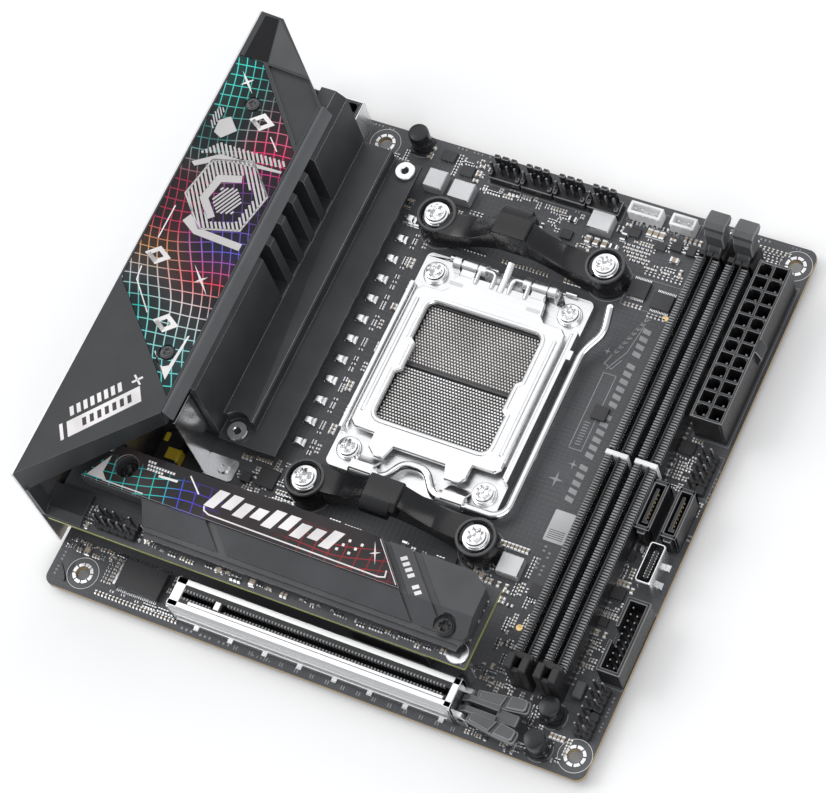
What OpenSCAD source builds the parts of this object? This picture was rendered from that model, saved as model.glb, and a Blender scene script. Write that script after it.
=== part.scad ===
/* [Board] */
// Board edge length along the front-to-rear direction
board_len = 170; // [120:1:310]
// Board edge length along the slot-to-top direction
board_wid = 170; // [120:1:245]
// Thickness of the main board
board_t = 1.6; // [1.0:0.1:2.4]
// Radius of the board's corners
board_corner = 3; // [0:0.5:8]
// Radius of the four mounting holes
mount_r = 1.98; // [1.5:0.01:2.5]
// Length of the solder tails under the board
tail_len = 2.4; // [1.5:0.1:4]

/* [Rear panel] */
// Width of the rear panel
shield_w = 158.7; // [150:0.1:160]
// Distance of the rear panel's end from the slot edge
shield_y = 13.4; // [0:0.1:20]
// Height of the rear panel's top above the board
shield_top = 43.6; // [35:0.1:46]
// How far the rear panel stands out behind the board
shield_out = 2; // [0.5:0.1:4]

/* [Cover and heatsinks] */
// Height of the cover's rear edge above the board
cover_rear_z = 44; // [38:0.5:50]
// Height of the cover's inner ridge above the board
cover_ridge_z = 40; // [34:0.5:48]
// Position of the cover's inner ridge from the rear edge
cover_ridge_x = 28.2; // [24:0.1:34]
// Wall thickness of the cover
cover_wall = 1.4; // [0.8:0.1:3]
// Height of the tall heatsink body above the board
sink_top = 36.2; // [25:0.1:40]
// Number of slots cut in the tall heatsink body
fin_slots = 5; // [2:1:8]
// Height of the upper board of the storage stack
stack_z = 16; // [12:0.5:20]
// Height of the storage heatsink's top above the board
stack_top = 26; // [22:0.5:30]

/* [Processor socket] */
// Socket centre from the rear edge
socket_x = 89.2; // [70:0.1:110]
// Socket centre from the slot edge
socket_y = 97.4; // [80:0.1:120]
// Cooler screw spacing along the front-to-rear direction
cooler_dx = 54; // [40:0.5:90]
// Cooler screw spacing along the slot-to-top direction
cooler_dy = 90; // [60:0.5:110]
// Height of each cooler bracket's hook over the board
hook_top = 19.2; // [18.4:0.1:22]
// Half the width of the hook
hook_half = 5.2; // [4.6:0.1:5.8]
// Radius of the lever wire
wire_r = 1.3; // [0.8:0.05:2]
// Radial play of each hinge pin
pin_play = 0.06; // [0.02:0.01:0.1]

/* [Memory and expansion] */
// Centre of the first memory slot from the rear edge
dimm_x = 143.8; // [130:0.1:160]
// Distance between the two memory slots
dimm_pitch = 8.8; // [7.6:0.1:12]
// Length of the expansion slot
pcie_len = 88.4; // [25:0.1:90]

/* [Hidden] */
$fn = 48;
slit = 0.02;
wire_sides = 24;

// The frame's origin is under the middle of the outline, at the lowest tails.
origin_x = (board_len - shield_out) / 2;
origin_y = max(board_wid, shield_y + shield_w) / 2;
board_z = board_t + tail_len;

// Mounting holes, from the rear edge and the slot edge
mount_holes = [[10.16, 6.35], [165.1, 6.35], [165.1, 163.83], [33.02, 163.83]];
cooler_holes = [for (i = [-1, 1], j = [-1, 1])
    [socket_x + i * cooler_dx / 2, socket_y + j * cooler_dy / 2]];
frame_holes = [for (i = [-1, 1], j = [-1, 1]) [socket_x + i * 21.5, socket_y - 0.2 + j * 29.9]];
sink_holes = [[36.2, 59.7], [46.1, 153.6]];

// Moves a shape from board coordinates to the part's frame
module on_board() translate([-origin_x, -origin_y, board_z]) children();

module box(x0, x1, y0, y1, z0, z1)
    translate([x0, y0, z0]) cube([x1 - x0, y1 - y0, z1 - z0]);

// Extrudes an outline drawn in x and z along y
module along_y(y0, y1)
    translate([0, y1, 0]) rotate([90, 0, 0]) linear_extrude(y1 - y0) children();

// Extrudes an outline drawn in y and z along x
module along_x(x0, x1)
    translate([x0, 0, 0]) rotate([90, 0, 90]) linear_extrude(x1 - x0) children();

module rod_x(x0, x1, y, z, r, sides = 48)
    translate([x0, y, z]) rotate([0, 90, 0]) cylinder(h = x1 - x0, r = r, $fn = sides);

module rod_y(y0, y1, x, z, r, sides = 48)
    translate([x, y0, z]) rotate([-90, 0, 0]) cylinder(h = y1 - y0, r = r, $fn = sides);

module post(x, y, z0, z1, r, sides = 48)
    translate([x, y, z0]) cylinder(h = z1 - z0, r = r, $fn = sides);

module round_rect(x0, x1, y0, y1, r) {
    translate([x0 + r, y0]) square([x1 - x0 - 2 * r, y1 - y0]);
    translate([x0, y0 + r]) square([x1 - x0, y1 - y0 - 2 * r]);
    for (x = [x0 + r, x1 - r], y = [y0 + r, y1 - r])
        translate([x, y]) circle(r);
}

module slab(x0, x1, y0, y1, z0, z1, r)
    translate([0, 0, z0]) linear_extrude(z1 - z0) round_rect(x0, x1, y0, y1, r);

// Solder tails in a grid under the board
module tails(x0, y0, nx, ny, px, py, w = 0.8)
    for (i = [0 : nx - 1], j = [0 : ny - 1])
        translate([x0 + i * px - w / 2, y0 + j * py - w / 2, -board_z])
            cube([w, w, tail_len]);

function unit(v) = v / norm(v);

// Slides a ring of points along d onto the plane through q that faces b
function mitred(ring, d, q, b) = [for (v = ring) v + d * ((q - v) * b) / (d * b)];

// The rings of a bent wire, one at each point of its path
function wire_rings(path, ring, i = 0) =
    i == len(path) - 1 ? [ring] :
    let (
        d = unit(path[i + 1] - path[i]),
        next = i + 2 < len(path) ? unit(path[i + 2] - path[i + 1]) : d
    )
    concat([ring], wire_rings(path, mitred(ring, d, path[i + 1], unit(d + next)), i + 1));

// Round wire along a path that sets out along +X
module bent_wire(path, r) {
    start = [for (k = [0 : wire_sides - 1])
        path[0] + r * [0, cos(k * 360 / wire_sides), sin(k * 360 / wire_sides)]];
    last = (len(path) - 1) * wire_sides;
    polyhedron(
        points = [for (ring = wire_rings(path, start), v = ring) v],
        faces = concat(
            [[for (k = [0 : wire_sides - 1]) k]],
            [for (i = [0 : len(path) - 2], k = [0 : wire_sides - 1])
                let (a = i * wire_sides, n = (k + 1) % wire_sides)
                [a + k, a + wire_sides + k, a + wire_sides + n, a + n]],
            [[for (k = [wire_sides - 1 : -1 : 0]) last + k]]
        )
    );
}

module pcb() {
    color([0.09, 0.09, 0.1])
        on_board()
            difference() {
                slab(0, board_len, 0, board_wid, -board_t, 0, board_corner);
                for (h = mount_holes) post(h[0], h[1], -board_t - 1, 1, mount_r);
                for (h = cooler_holes) post(h[0], h[1], -board_t - 1, 1, 2.3);
                for (h = frame_holes) post(h[0], h[1], -board_t - 1, 1, 2.3);
                for (h = sink_holes) post(h[0], h[1], -board_t - 1, 1, 1.7);
            }
}

// Rear port positions: y start, y end, height, depth behind the rear panel
audio_y = [20.5, 37.5];
wifi_y = [41, 55];
video_y = [57.5, 72.5];
usb_y = [[75, 89], [91, 105], [141.5, 155.5]];
usbc_y = [107.5, 120.5];
lan_y = [123, 139.4];
button_y = 162;
button_z = [9, 19];

module io_shield() {
    color([0.7, 0.7, 0.72])
        on_board()
            difference() {
                box(-shield_out, -shield_out + 0.8, shield_y, shield_y + shield_w,
                    -board_t + 0.9, shield_top);
                for (j = [0, 1])
                    rod_x(-3, 1, audio_y[0] + 4.25 + j * 8.5, 6.3, 3.2);
                for (z = [7.5, 19.5])
                    rod_x(-3, 1, (wifi_y[0] + wifi_y[1]) / 2, z, 3.4);
                box(-3, 1, video_y[0] + 0.3, video_y[1] - 0.3, 0.9, 6.9);
                for (u = usb_y) box(-3, 1, u[0] + 0.3, u[1] - 0.3, 1, 16.1);
                for (z = [2, 14])
                    box(-3, 1, usbc_y[0] + 1.7, usbc_y[1] - 1.7, z - 0.2, z + 3.5);
                box(-3, 1, lan_y[0] + 0.3, lan_y[1] - 0.3, 1, 26.6);
                for (z = button_z) rod_x(-3, 1, button_y, z, 2.3);
                // vent slots above the ports
                for (i = [0 : 15])
                    box(-3, 1, 60 + i * 6.4, 62.4 + i * 6.4, 31, 38);
            }
}

// Height of the cover's sloping top at a distance from the rear edge
function top_z(x) = cover_rear_z + (cover_ridge_z - cover_rear_z)
    * (x + 1.2) / (cover_ridge_x + 1.2);

// Plan outline of the cover, drawn in by a wall thickness
module cover_plan(w)
    polygon([[-1.2 + w, 13.6 + 2.1 * w], [cover_ridge_x - w, 45.8 + 1.1 * w],
        [cover_ridge_x - w, 150 - 0.4 * w], [21.3 - 0.4 * w, 157 - w],
        [5.8 - 0.4 * w, 172 - w], [-1.2 + w, 172 - w]]);

module cover_section(drop)
    polygon([[-3, 10], [-3, top_z(-3) - drop], [40, top_z(40) - drop], [40, 10]]);

module panel_plan(w)
    polygon([[-0.7 + w, 79 + 2 * w], [-0.7 + w, 156.6 - w], [6.6 - w, 156.6 - w],
        [27.6 - w, 133.2 - w], [27.6 - w, 50.8 + 2 * w]]);

module io_cover() {
    color([0.17, 0.17, 0.18])
        on_board()
            difference() {
                union() {
                    intersection() {
                        translate([0, 0, 33]) linear_extrude(14) cover_plan(0);
                        along_y(0, 180) cover_section(0);
                    }
                    // end strip that runs down to the storage stack
                    box(-1.2, 0.2, 13.6, 18, stack_z + 1.4, 34);
                    // low step over the end of the storage stack
                    along_x(-1.2, 11.5)
                        polygon([[13.6, stack_z + 1.4], [23.5, stack_z + 1.4],
                            [23.5, 19.3], [16.3, 19.3], [13.6, stack_z + 1.9]]);
                    // far end wall
                    intersection() {
                        translate([0, 0, 20]) linear_extrude(20) cover_plan(0);
                        box(-2, 30, 170.6, 173, 14, 40);
                    }
                }
                // hollow inside
                intersection() {
                    translate([0, 0, 30]) linear_extrude(14) cover_plan(cover_wall);
                    along_y(0, 180) cover_section(cover_wall + 1);
                }
                // seat over the tall heatsink body
                box(23.3, 30, 57.3, 158.1, 30, sink_top + 0.05);
                // the rear panel closes the rear side of the hollow below its top
                box(-2, 0.3, 18, 170.5, 30, 36);
                // seat for the printed panel
                intersection() {
                    translate([0, 0, 38]) linear_extrude(10) panel_plan(0);
                    along_y(0, 180)
                        polygon([[-3, top_z(-3) - 0.8], [40, top_z(40) - 0.8],
                            [40, 50], [-3, 50]]);
                }
                // sunk plain facet beside the panel
                intersection() {
                    translate([0, 0, 38]) linear_extrude(10)
                        polygon([[8.2, 156.4], [21.2, 156.4], [27.2, 149.6], [27.2, 135.2]]);
                    along_y(0, 180)
                        polygon([[-3, top_z(-3) - 1], [40, top_z(40) - 1],
                            [40, 50], [-3, 50]]);
                }
                for (p = cover_screw_at) post(p[0], p[1], 30, 50, 1.3);
            }
}

cover_screw_at = [[9.8, 143], [21.8, 63]];

module cover_panel() {
    color([0.1, 0.12, 0.16])
        on_board()
            difference() {
                intersection() {
                    translate([0, 0, 38]) linear_extrude(10) panel_plan(0.1);
                    along_y(0, 180)
                        polygon([[-3, top_z(-3) - 0.8 + slit], [40, top_z(40) - 0.8 + slit],
                            [40, top_z(40) - 0.1], [-3, top_z(-3) - 0.1]]);
                }
                for (p = cover_screw_at) post(p[0], p[1], 30, 50, 2.4);
            }
}

// Ridge strip along the cover's inner edge, with the bar over the fins
module cover_trim() {
    color([0.42, 0.42, 0.44])
        on_board() {
            along_y(46.2, 150)
                polygon([[28.3, sink_top + 0.05], [31.2, sink_top + 0.05],
                    [29.4, 39.7], [28.3, 40.1]]);
        }
}

// Black cross-head screws of the cover and of the storage heatsink
module cover_screws() {
    color([0.1, 0.1, 0.11])
        on_board() {
            for (p = cover_screw_at)
                difference() {
                    union() {
                        post(p[0], p[1], top_z(p[0]) - 0.45, top_z(p[0]) + 0.35, 2.2);
                        post(p[0], p[1], top_z(p[0]) - 4.6, top_z(p[0]) - 0.45, 1.2);
                    }
                    for (a = [0, 90])
                        translate([p[0], p[1], top_z(p[0]) + 0.3])
                            rotate([0, 0, a]) cube([2.4, 0.5, 1], center = true);
                }
            for (p = stack_screw_at)
                difference() {
                    union() {
                        post(p[0], p[1], 22.62, 24.2, 2.7);
                        post(p[0], p[1], stack_z + 1.22, 22.62, 1.3);
                    }
                    for (a = [0, 90])
                        translate([p[0], p[1], 24])
                            rotate([0, 0, a]) cube([3.4, 0.7, 1.2], center = true);
                }
        }
}

module vrm_heatsink() {
    color([0.12, 0.12, 0.13])
        on_board()
            difference() {
                union() {
                    along_y(57.6, 157.8)
                        polygon([[23.6, 7.8], [31.3, 7.8], [31.3, 33.4],
                            [28.3, sink_top], [23.6, sink_top]]);
                    along_y(62.4, 157.2)
                        polygon([[31.3, 2.1], [41, 2.1], [41, 9.9], [40.6, 10.3],
                            [31.3, 10.3]]);
                    along_y(56.4, 157)
                        polygon([[31.3, 4.6], [49.8, 4.6], [49.8, 6], [31.3, 6]]);
                    along_y(57.6, 65)
                        polygon([[28, 4.6], [31.3, 4.6], [31.3, 10], [28, 10]]);
                }
                // slots between the fins
                for (i = [0 : fin_slots - 1])
                    box(25.6, 31.4, 101.6 + i * 7.4, 106 + i * 7.4, 10.4, sink_top + 1);
                // seat of the far screw and its ring
                for (h = sink_holes) post(h[0], h[1], 1, 7, 1.7);
                post(sink_holes[0][0], sink_holes[0][1], 6, 12, 4.6);
            }
}

module vrm_pads() {
    color([0.6, 0.62, 0.66])
        on_board() {
            box(33.6, 40.6, 66, 152, 1.06, 2.08);
            box(24.2, 30.8, 66, 152, 7.06, 7.78);
        }
}

module power_stages() {
    color([0.07, 0.07, 0.08])
        on_board()
            for (i = [0 : 9])
                box(34.4, 39.8, 67.5 + i * 8.5, 72.5 + i * 8.5, 0, 1.04);
}

module vrm_chokes() {
    color([0.3, 0.3, 0.32])
        on_board()
            for (i = [0 : 9])
                slab(24.2, 30.9, 66.6 + i * 8.5, 73.4 + i * 8.5, 0, 7.04, 0.6);
}

module heatsink_screws() {
    color([0.75, 0.75, 0.76])
        on_board()
            for (h = sink_holes) {
                difference() {
                    union() {
                        post(h[0], h[1], 6.02, 7.2, 3);
                        post(h[0], h[1], -3.2, 6.02, 1.5);
                    }
                    post(h[0], h[1], 6.5, 8, 0.9);
                }
                difference() {
                    post(h[0], h[1], -3.2, -board_t, 2.8);
                    post(h[0], h[1], -4, -1, 1.55);
                }
            }
}

// Polished sheet bracket with a screwed foot beside the heatsink's end
module side_bracket() {
    color([0.6, 0.6, 0.61])
        on_board()
            difference() {
                union() {
                    box(28.1, 28.7, 47.6, 57.3, 0, 30);
                    slab(28.4, 38.6, 46.4, 53.4, 0, 0.7, 1.2);
                    post(34.6, 50, 0.7, 1.5, 1.8);
                }
                post(34.6, 50, 1, 2, 0.6);
            }
}

// Low chip capacitors beside the heatsink and tall can capacitors
module capacitors() {
    color([0.6, 0.61, 0.63])
        on_board() {
            for (i = [0 : 11])
                slab(50.6, 54.4, 63.6 + i * 7, 66.4 + i * 7, 0, 1.8, 0.3);
            for (p = [[44.7, 166.4], [155.2, 14.6], [155.2, 4.8]]) {
                post(p[0], p[1], 0.6, 8.2, 3.1);
                slab(p[0] - 3.3, p[0] + 3.3, p[1] - 3.3, p[1] + 3.3, 0, 0.6, 0.6);
            }
        }
}

module filter_chokes() {
    color([0.66, 0.67, 0.68])
        on_board() {
            slab(51.4, 57.6, 152.4, 158.8, 0, 4, 0.5);
            slab(60, 67.2, 151.2, 157.6, 0, 4, 0.5);
            slab(103.6, 110.8, 154.9, 161.1, 0, 4, 0.5);
            slab(123, 130, 47, 53.4, 0, 3.2, 0.5);
        }
}

stack_x1 = 132.4;

module storage_board() {
    color([0.1, 0.1, 0.11])
        on_board()
            difference() {
                slab(0.3, stack_x1, 13.4, 38, stack_z, stack_z + 1.2, 0.6);
                for (p = stack_posts) post(p[0], p[1], stack_z - 1, stack_z + 2, 1.4);
            }
}

stack_posts = [[128.8, 16.8], [26, 35], [104, 35.4]];

stack_screw_at = [[20.2, 32.2], [124.4, 20.8]];

groove_depth = 1;

module storage_heatsink() {
    color([0.16, 0.16, 0.17])
        on_board()
            difference() {
                intersection() {
                    along_x(0, 140)
                        polygon([[16.2, 20.4], [37.4, 20.4], [37.4, stack_top],
                            [25.2, stack_top], [19, 22.7], [19, 22.1], [17.6, 22.1],
                            [17.6, 21.2], [16.2, 21.2]]);
                    translate([0, 0, 18]) linear_extrude(12)
                        polygon([[32, 16], [28.4, 25], [8.4, 25.2], [15.8, 36.2],
                            [16.6, 37.4], [126.6, 37.4], [131.2, 33.8], [131.2, 20.5],
                            [129.4, 17.6], [129.2, 16]]);
                }
                // hollow for the storage card
                box(40, 118, 19.4, 35.6, 20, 21.4);
                // diagonal grooves that follow the top and the slope
                intersection() {
                    along_x(0, 140)
                        polygon([[19, 22.1], [25.2, stack_top - groove_depth],
                            [40, stack_top - groove_depth], [40, 30], [19, 30]]);
                    for (g = [[50, 25.6], [107.9, 28], [116.6, 29]])
                        translate([g[0], g[1], 20])
                            rotate([0, 0, 43]) translate([-1.1, -18, 0]) cube([2.2, 36, 12]);
                }
                for (p = stack_screw_at) {
                    post(p[0], p[1], 19, 30, 1.5);
                    post(p[0], p[1], 22.6, 30, 3.4);
                }
            }
}

module storage_top_plate() {
    color([0.2, 0.17, 0.2])
        on_board()
            difference() {
                translate([0, 0, stack_top + slit]) linear_extrude(1)
                    polygon([[8.6, 25.4], [15.4, 36.4], [16.2, 37.4], [98.4, 37.4],
                        [109.2, 25.4]]);
                for (p = stack_screw_at) post(p[0], p[1], 20, 30, 3.5);
            }
}

module storage_standoffs() {
    color([0.74, 0.74, 0.75])
        on_board() {
            for (p = stack_posts) {
                post(p[0], p[1], 0, stack_z, 2.4, 6);
                post(p[0], p[1], stack_z, stack_z + 1.2, 1.3);
            }
            post(stack_posts[0][0], stack_posts[0][1], stack_z + 1.2, stack_z + 2, 3.2);
        }
}

// Connectors that join the storage board to the main board, and its card slot
module stack_connectors() {
    color([0.08, 0.08, 0.09])
        on_board() {
            box(56, 88, 30.5, 37.2, 0, stack_z);
            box(34, 52, 18, 24, 0, stack_z);
            difference() {
                box(32, 38.6, 19.6, 34, stack_z + 1.2, stack_z + 3.9);
                box(34, 39, 21, 33, stack_z + 2, stack_z + 3.2);
            }
        }
}

module chipset() {
    color([0.12, 0.12, 0.13])
        on_board() {
            box(96, 116, 17, 28, 0, 0.9);
            box(100, 112, 19, 26, 0.9, 1.6);
            difference() {
                box(94, 118, 15.4, 29.6, 1.62, 8.5);
                for (i = [0 : 5])
                    box(93, 119, 16.9 + i * 2.1, 17.9 + i * 2.1, 3.4, 9);
            }
        }
}

// A pin header: base block with square pins
module pin_header(x, y, z, nx, ny, high, skip_x, skip_y) {
    p = 2.54;
    box(x - 1.27, x + (nx - 0.5) * p, y - 1.27, y + (ny - 0.5) * p, z, z + 2.5);
    for (i = [0 : nx - 1], j = [0 : ny - 1])
        if (!(i == skip_x && j == skip_y))
            box(x + i * p - 0.32, x + i * p + 0.32, y + j * p - 0.32,
                y + j * p + 0.32, z + 2.5, z + high);
}

module audio_header() {
    color([0.2, 0.2, 0.21])
        on_board() pin_header(17.2, 16.2, stack_z + 1.2, 5, 2, 8.6, 3, 1);
}

pcie_x0 = 42.8;
pcie_x1 = pcie_x0 + pcie_len;

module pcie_slot() {
    color([0.08, 0.08, 0.09])
        on_board() {
            difference() {
                box(pcie_x0 + 0.8, pcie_x1 - 0.8, 4, 11.4, 0, 11.2);
                box(pcie_x0 + 1.9, pcie_x0 + 13.2, 6.9, 8.6, 2.4, 12);
                box(pcie_x0 + 15.6, pcie_x1 - 1.9, 6.9, 8.6, 2.4, 12);
            }
            for (i = [0 : 40])
                for (j = [0, 1])
                    translate([pcie_x0 + 4 + i * 2, 5.2 + j * 4.8, -board_z])
                        cube([0.6, 0.6, tail_len]);
        }
}

module pcie_shell() {
    color([0.78, 0.78, 0.79])
        on_board()
            difference() {
                union() {
                    box(pcie_x0, pcie_x1, 2.8, 12.6, 0.3, 10.9);
                    // ears that carry the latch pin
                    for (y = [3.2, 10.4])
                        box(pcie_x1, pcie_x1 + 3.6, y, y + 1.6, 0.3, 7.2);
                }
                box(pcie_x0 + 0.76, pcie_x1 - 0.76, 3.96, 11.44, 0, 12);
                rod_y(0, 14, pcie_x1 + 2, 4.8, 0.9 + pin_play);
            }
}

// Release latch at the inner end of the expansion slot
module pcie_latch() {
    color([0.2, 0.2, 0.21])
        on_board() {
            rod_y(3.2, 12, pcie_x1 + 2, 4.8, 0.9);
            difference() {
                union() {
                    along_y(5.1, 10.1)
                        polygon([[pcie_x1 + 0.4, 3.6], [pcie_x1 + 4, 3.4], [pcie_x1 + 12, 6.4],
                            [pcie_x1 + 12, 8.4], [pcie_x1 + 3, 8.4], [pcie_x1 + 0.4, 6.2]]);
                    for (s = [0, 1])
                        translate([pcie_x1 + 4.2, s * 6.4 + 5.4, 6.2])
                            rotate([0, 0, s == 0 ? -7 : 7])
                                translate([0, -1.9, 0]) cube([15, 3.8, 2.4]);
                }
                box(pcie_x1 + 6, pcie_x1 + 13, 6.6, 8.4, 0, 12);
            }
        }
}

dimm_y0 = 22;
dimm_y1 = 155.4;
dimm_key_y = 88;
latch_pin_y = 158.6;
latch_pin_z = 3.6;

module dimm_slots() {
    color([0.08, 0.08, 0.09])
        on_board()
            for (k = [0, 1]) {
                x = dimm_x + k * dimm_pitch;
                difference() {
                    union() {
                        box(x - 3.2, x + 3.2, dimm_y0, dimm_y1, 0, 9.6);
                        box(x - 2.4, x + 2.4, dimm_y0, dimm_y1, 9.6, 11.2);
                        // fixed end post
                        box(x - 3.3, x + 3.3, dimm_y0 - 3.2, dimm_y0 + 1.4, 0, 14.6);
                        // cheeks that hold the latch pin
                        for (s = [-3.3, 2.1])
                            box(x + s, x + s + 1.2, dimm_y1, 163, 0, 7.2);
                        box(x - 3.3, x + 3.3, dimm_y1, 163, 0, 0.8);
                    }
                    box(x - 0.8, x + 0.8, dimm_y0 - 1.6, dimm_key_y - 0.9, 3, 16);
                    box(x - 0.8, x + 0.8, dimm_key_y + 0.9, dimm_y1 + 1, 3, 16);
                    rod_x(x - 4, x + 4, latch_pin_y, latch_pin_z, 0.9 + pin_play);
                }
                for (i = [0 : 31])
                    for (j = [-1, 1])
                        translate([x + j * 1.6 - 0.25, dimm_y0 + 3 + i * 4.05, -board_z])
                            cube([0.5, 0.5, tail_len]);
            }
}

// Ejector at the top end of a memory slot
module dimm_latch(x) {
    color([0.36, 0.36, 0.38])
        on_board() {
            rod_x(x - 3.2, x + 3.2, latch_pin_y, latch_pin_z, 0.9);
            along_x(x - 1.9, x + 1.9)
                polygon([[156.2, 2.2], [161.4, 1.9], [162.2, 9], [163.4, 15.8],
                    [164.9, 16.6], [164.9, 18.2], [159.4, 18.2], [157.6, 14.6],
                    [156.6, 11.6], [156.6, 6]]);
            along_x(x - 3, x + 3)
                polygon([[158, 9.4], [162.3, 9.4], [163.4, 15.8], [164.9, 16.6],
                    [164.9, 18.2], [159.4, 18.2], [158, 14.6]]);
        }
}

module dimm_latch_a() dimm_latch(dimm_x);

module dimm_latch_b() dimm_latch(dimm_x + dimm_pitch);

// A power socket housing: two rows of square cells
module power_cells(x, y, along_x_axis, n) {
    p = 4.2;
    for (i = [0 : n - 1], j = [0, 1])
        if (along_x_axis)
            box(x + i * p - 1.7, x + i * p + 1.7, y + j * p - 1.7, y + j * p + 1.7, 2.4, 20);
        else
            box(x + j * p - 1.7, x + j * p + 1.7, y + i * p - 1.7, y + i * p + 1.7, 2.4, 20);
}

module power_pins(x, y, along_x_axis, n) {
    p = 4.2;
    for (i = [0 : n - 1], j = [0, 1]) {
        px = along_x_axis ? x + i * p : x + j * p;
        py = along_x_axis ? y + j * p : y + i * p;
        box(px - 0.5, px + 0.5, py - 0.5, py + 0.5, 2.4, 9.6);
        box(px - 0.5, px + 0.5, py - 0.5, py + 0.5, -board_z, -board_t);
    }
}

module atx_power_socket() {
    color([0.07, 0.07, 0.08])
        on_board() {
            difference() {
                box(158.6, 168.2, 105, 156.6, 0, 12.8);
                power_cells(161.3, 107.7, false, 12);
            }
            // latch ramp on the front side
            along_y(128.8, 133.2)
                polygon([[168.2, 4.4], [169.9, 8.6], [169.9, 9.4], [168.2, 9.4]]);
            power_pins(161.3, 107.7, false, 12);
        }
}

module cpu_power_socket() {
    color([0.07, 0.07, 0.08])
        on_board() {
            difference() {
                box(8.6, 26.2, 158.9, 168.1, 0, 12.8);
                power_cells(11.1, 161.4, true, 4);
            }
            power_pins(11.1, 161.4, true, 4);
        }
}

module cpu_power_shell() {
    color([0.72, 0.72, 0.73])
        on_board()
            difference() {
                box(8, 26.8, 158.3, 168.7, 0.2, 12.4);
                box(8.58, 26.22, 158.88, 168.12, 0, 14);
            }
}

module sata_ports() {
    color([0.08, 0.08, 0.09])
        on_board()
            for (p = [[155.9, 160.6], [163.7, 168.4]])
                difference() {
                    box(p[0], p[1], 70.3, 85.6, 0, 9);
                    difference() {
                        box(p[0] + 1, p[1] - 1, 71.6, 84.3, 2, 10);
                        box(p[0] + 0.9, p[0] + 2.1, 72.8, 84.4, 1, 8.2);
                    }
                }
}

module usb_c_header() {
    color([0.76, 0.76, 0.77])
        on_board()
            difference() {
                slab(162.4, 167.2, 55.6, 68, 0, 9.2, 1);
                slab(163, 166.6, 56.2, 67.4, 1.6, 10, 0.8);
            }
}

module usb3_header() {
    color([0.08, 0.08, 0.09])
        on_board() {
            difference() {
                box(163, 169.8, 28.4, 50.9, 0, 9);
                box(164, 168.8, 29.4, 49.9, 2.4, 10);
                box(162, 165, 37.5, 41.8, 4.2, 10);
            }
            for (i = [0 : 9], j = [0, 1])
                if (i < 9 || j == 0)
                    box(165.2 + j * 2 - 0.3, 165.2 + j * 2 + 0.3,
                        30.7 + i * 2 - 0.3, 30.7 + i * 2 + 0.3, 2.4, 7.6);
        }
}

module usb2_header() {
    color([0.2, 0.2, 0.21])
        on_board() pin_header(164.4, 89, 0, 2, 5, 8.4, 1, 0);
}

module front_panel_header() {
    color([0.2, 0.2, 0.21])
        on_board() {
            pin_header(163.6, 12.6, 0, 2, 3, 8.4, 1, 2);
            pin_header(163.6, 20.4, 0, 2, 3, 8.4, -1, -1);
            slab(157.6, 160.6, 21, 26, 0, 2.4, 0.3);
        }
}

// Four-pin headers with a polarising wall
module fan_headers() {
    color([0.16, 0.16, 0.17])
        on_board()
            for (x = [69.2, 79.6, 90.2, 101]) {
                box(x, x + 10, 161.4, 166.2, 0, 3.2);
                box(x + 1.4, x + 8.6, 165, 166.2, 3.2, 9.6);
                for (i = [0 : 3])
                    box(x + 1.2 + i * 2.54 - 0.32, x + 1.2 + i * 2.54 + 0.32,
                        162.9, 163.54, 3.2, 9.4);
            }
}

module light_headers() {
    color([0.86, 0.86, 0.87])
        on_board()
            for (p = [[113.4, 123.6], [126.6, 134.2]])
                difference() {
                    box(p[0], p[1], 163, 167, 0, 4.6);
                    box(p[0] + 0.8, p[1] - 0.8, 164, 166.2, 1.6, 6);
                }
}

module cpu_socket() {
    color([0.06, 0.06, 0.07])
        on_board()
            difference() {
                slab(socket_x - 20.4, socket_x + 20.4, socket_y - 20.8, socket_y + 20.8,
                    0, 3.6, 1.2);
                slab(socket_x - 18.8, socket_x + 18.8, socket_y - 19.4, socket_y + 19.4,
                    1.6, 6, 1);
            }
}

module socket_contacts() {
    color([0.55, 0.55, 0.56])
        on_board()
            for (s = [-19.2, 0.5])
                slab(socket_x - 18.6, socket_x + 18.6, socket_y + s, socket_y + s + 18.7,
                    1.62, 2.7, 0.6);
}

plate_axis_y = 131.4;
plate_axis_z = 4.7;
lever_axis_y = 61.6;
lever_axis_z = 3.6;

module load_frame() {
    color([0.8, 0.8, 0.81])
        on_board()
            difference() {
                union() {
                    slab(62.4, 116, 61, 133.6, slit, 1.9, 2);
                    // side rails
                    box(62.4, 63.6, 72, 122, 1.9, 4.6);
                    box(114.8, 116, 72, 122, 1.9, 4.6);
                    // lugs for the plate's hinge pins
                    for (x = [72.6, 80.6, 95, 103])
                        translate([x, 0, 0]) {
                            rod_x(0, 2.4, plate_axis_y, plate_axis_z, 2.1);
                            box(0, 2.4, plate_axis_y - 2.1, plate_axis_y + 2.1, 1.9,
                                plate_axis_z);
                        }
                    // barrels that hold the lever
                    for (x = [71.8, 99])
                        translate([x, 0, 0]) {
                            rod_x(0, 8, lever_axis_y, lever_axis_z, wire_r + 1.1);
                            box(0, 8, lever_axis_y - 0.6, lever_axis_y + 1.8, 1.9,
                                lever_axis_z);
                        }
                    // keeper beside the lever's arm
                    box(116, 117.6, 112.6, 115.6, slit, 5.6);
                }
                slab(socket_x - 20.8, socket_x + 20.8, socket_y - 21.2, socket_y + 21.2,
                    0, 3, 1.4);
                rod_x(60, 120, plate_axis_y, plate_axis_z, 1.1 + pin_play);
                rod_x(60, 112, lever_axis_y, lever_axis_z, wire_r + pin_play);
                for (h = frame_holes) post(h[0], h[1], 0, 3, 2.2);
            }
}

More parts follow.
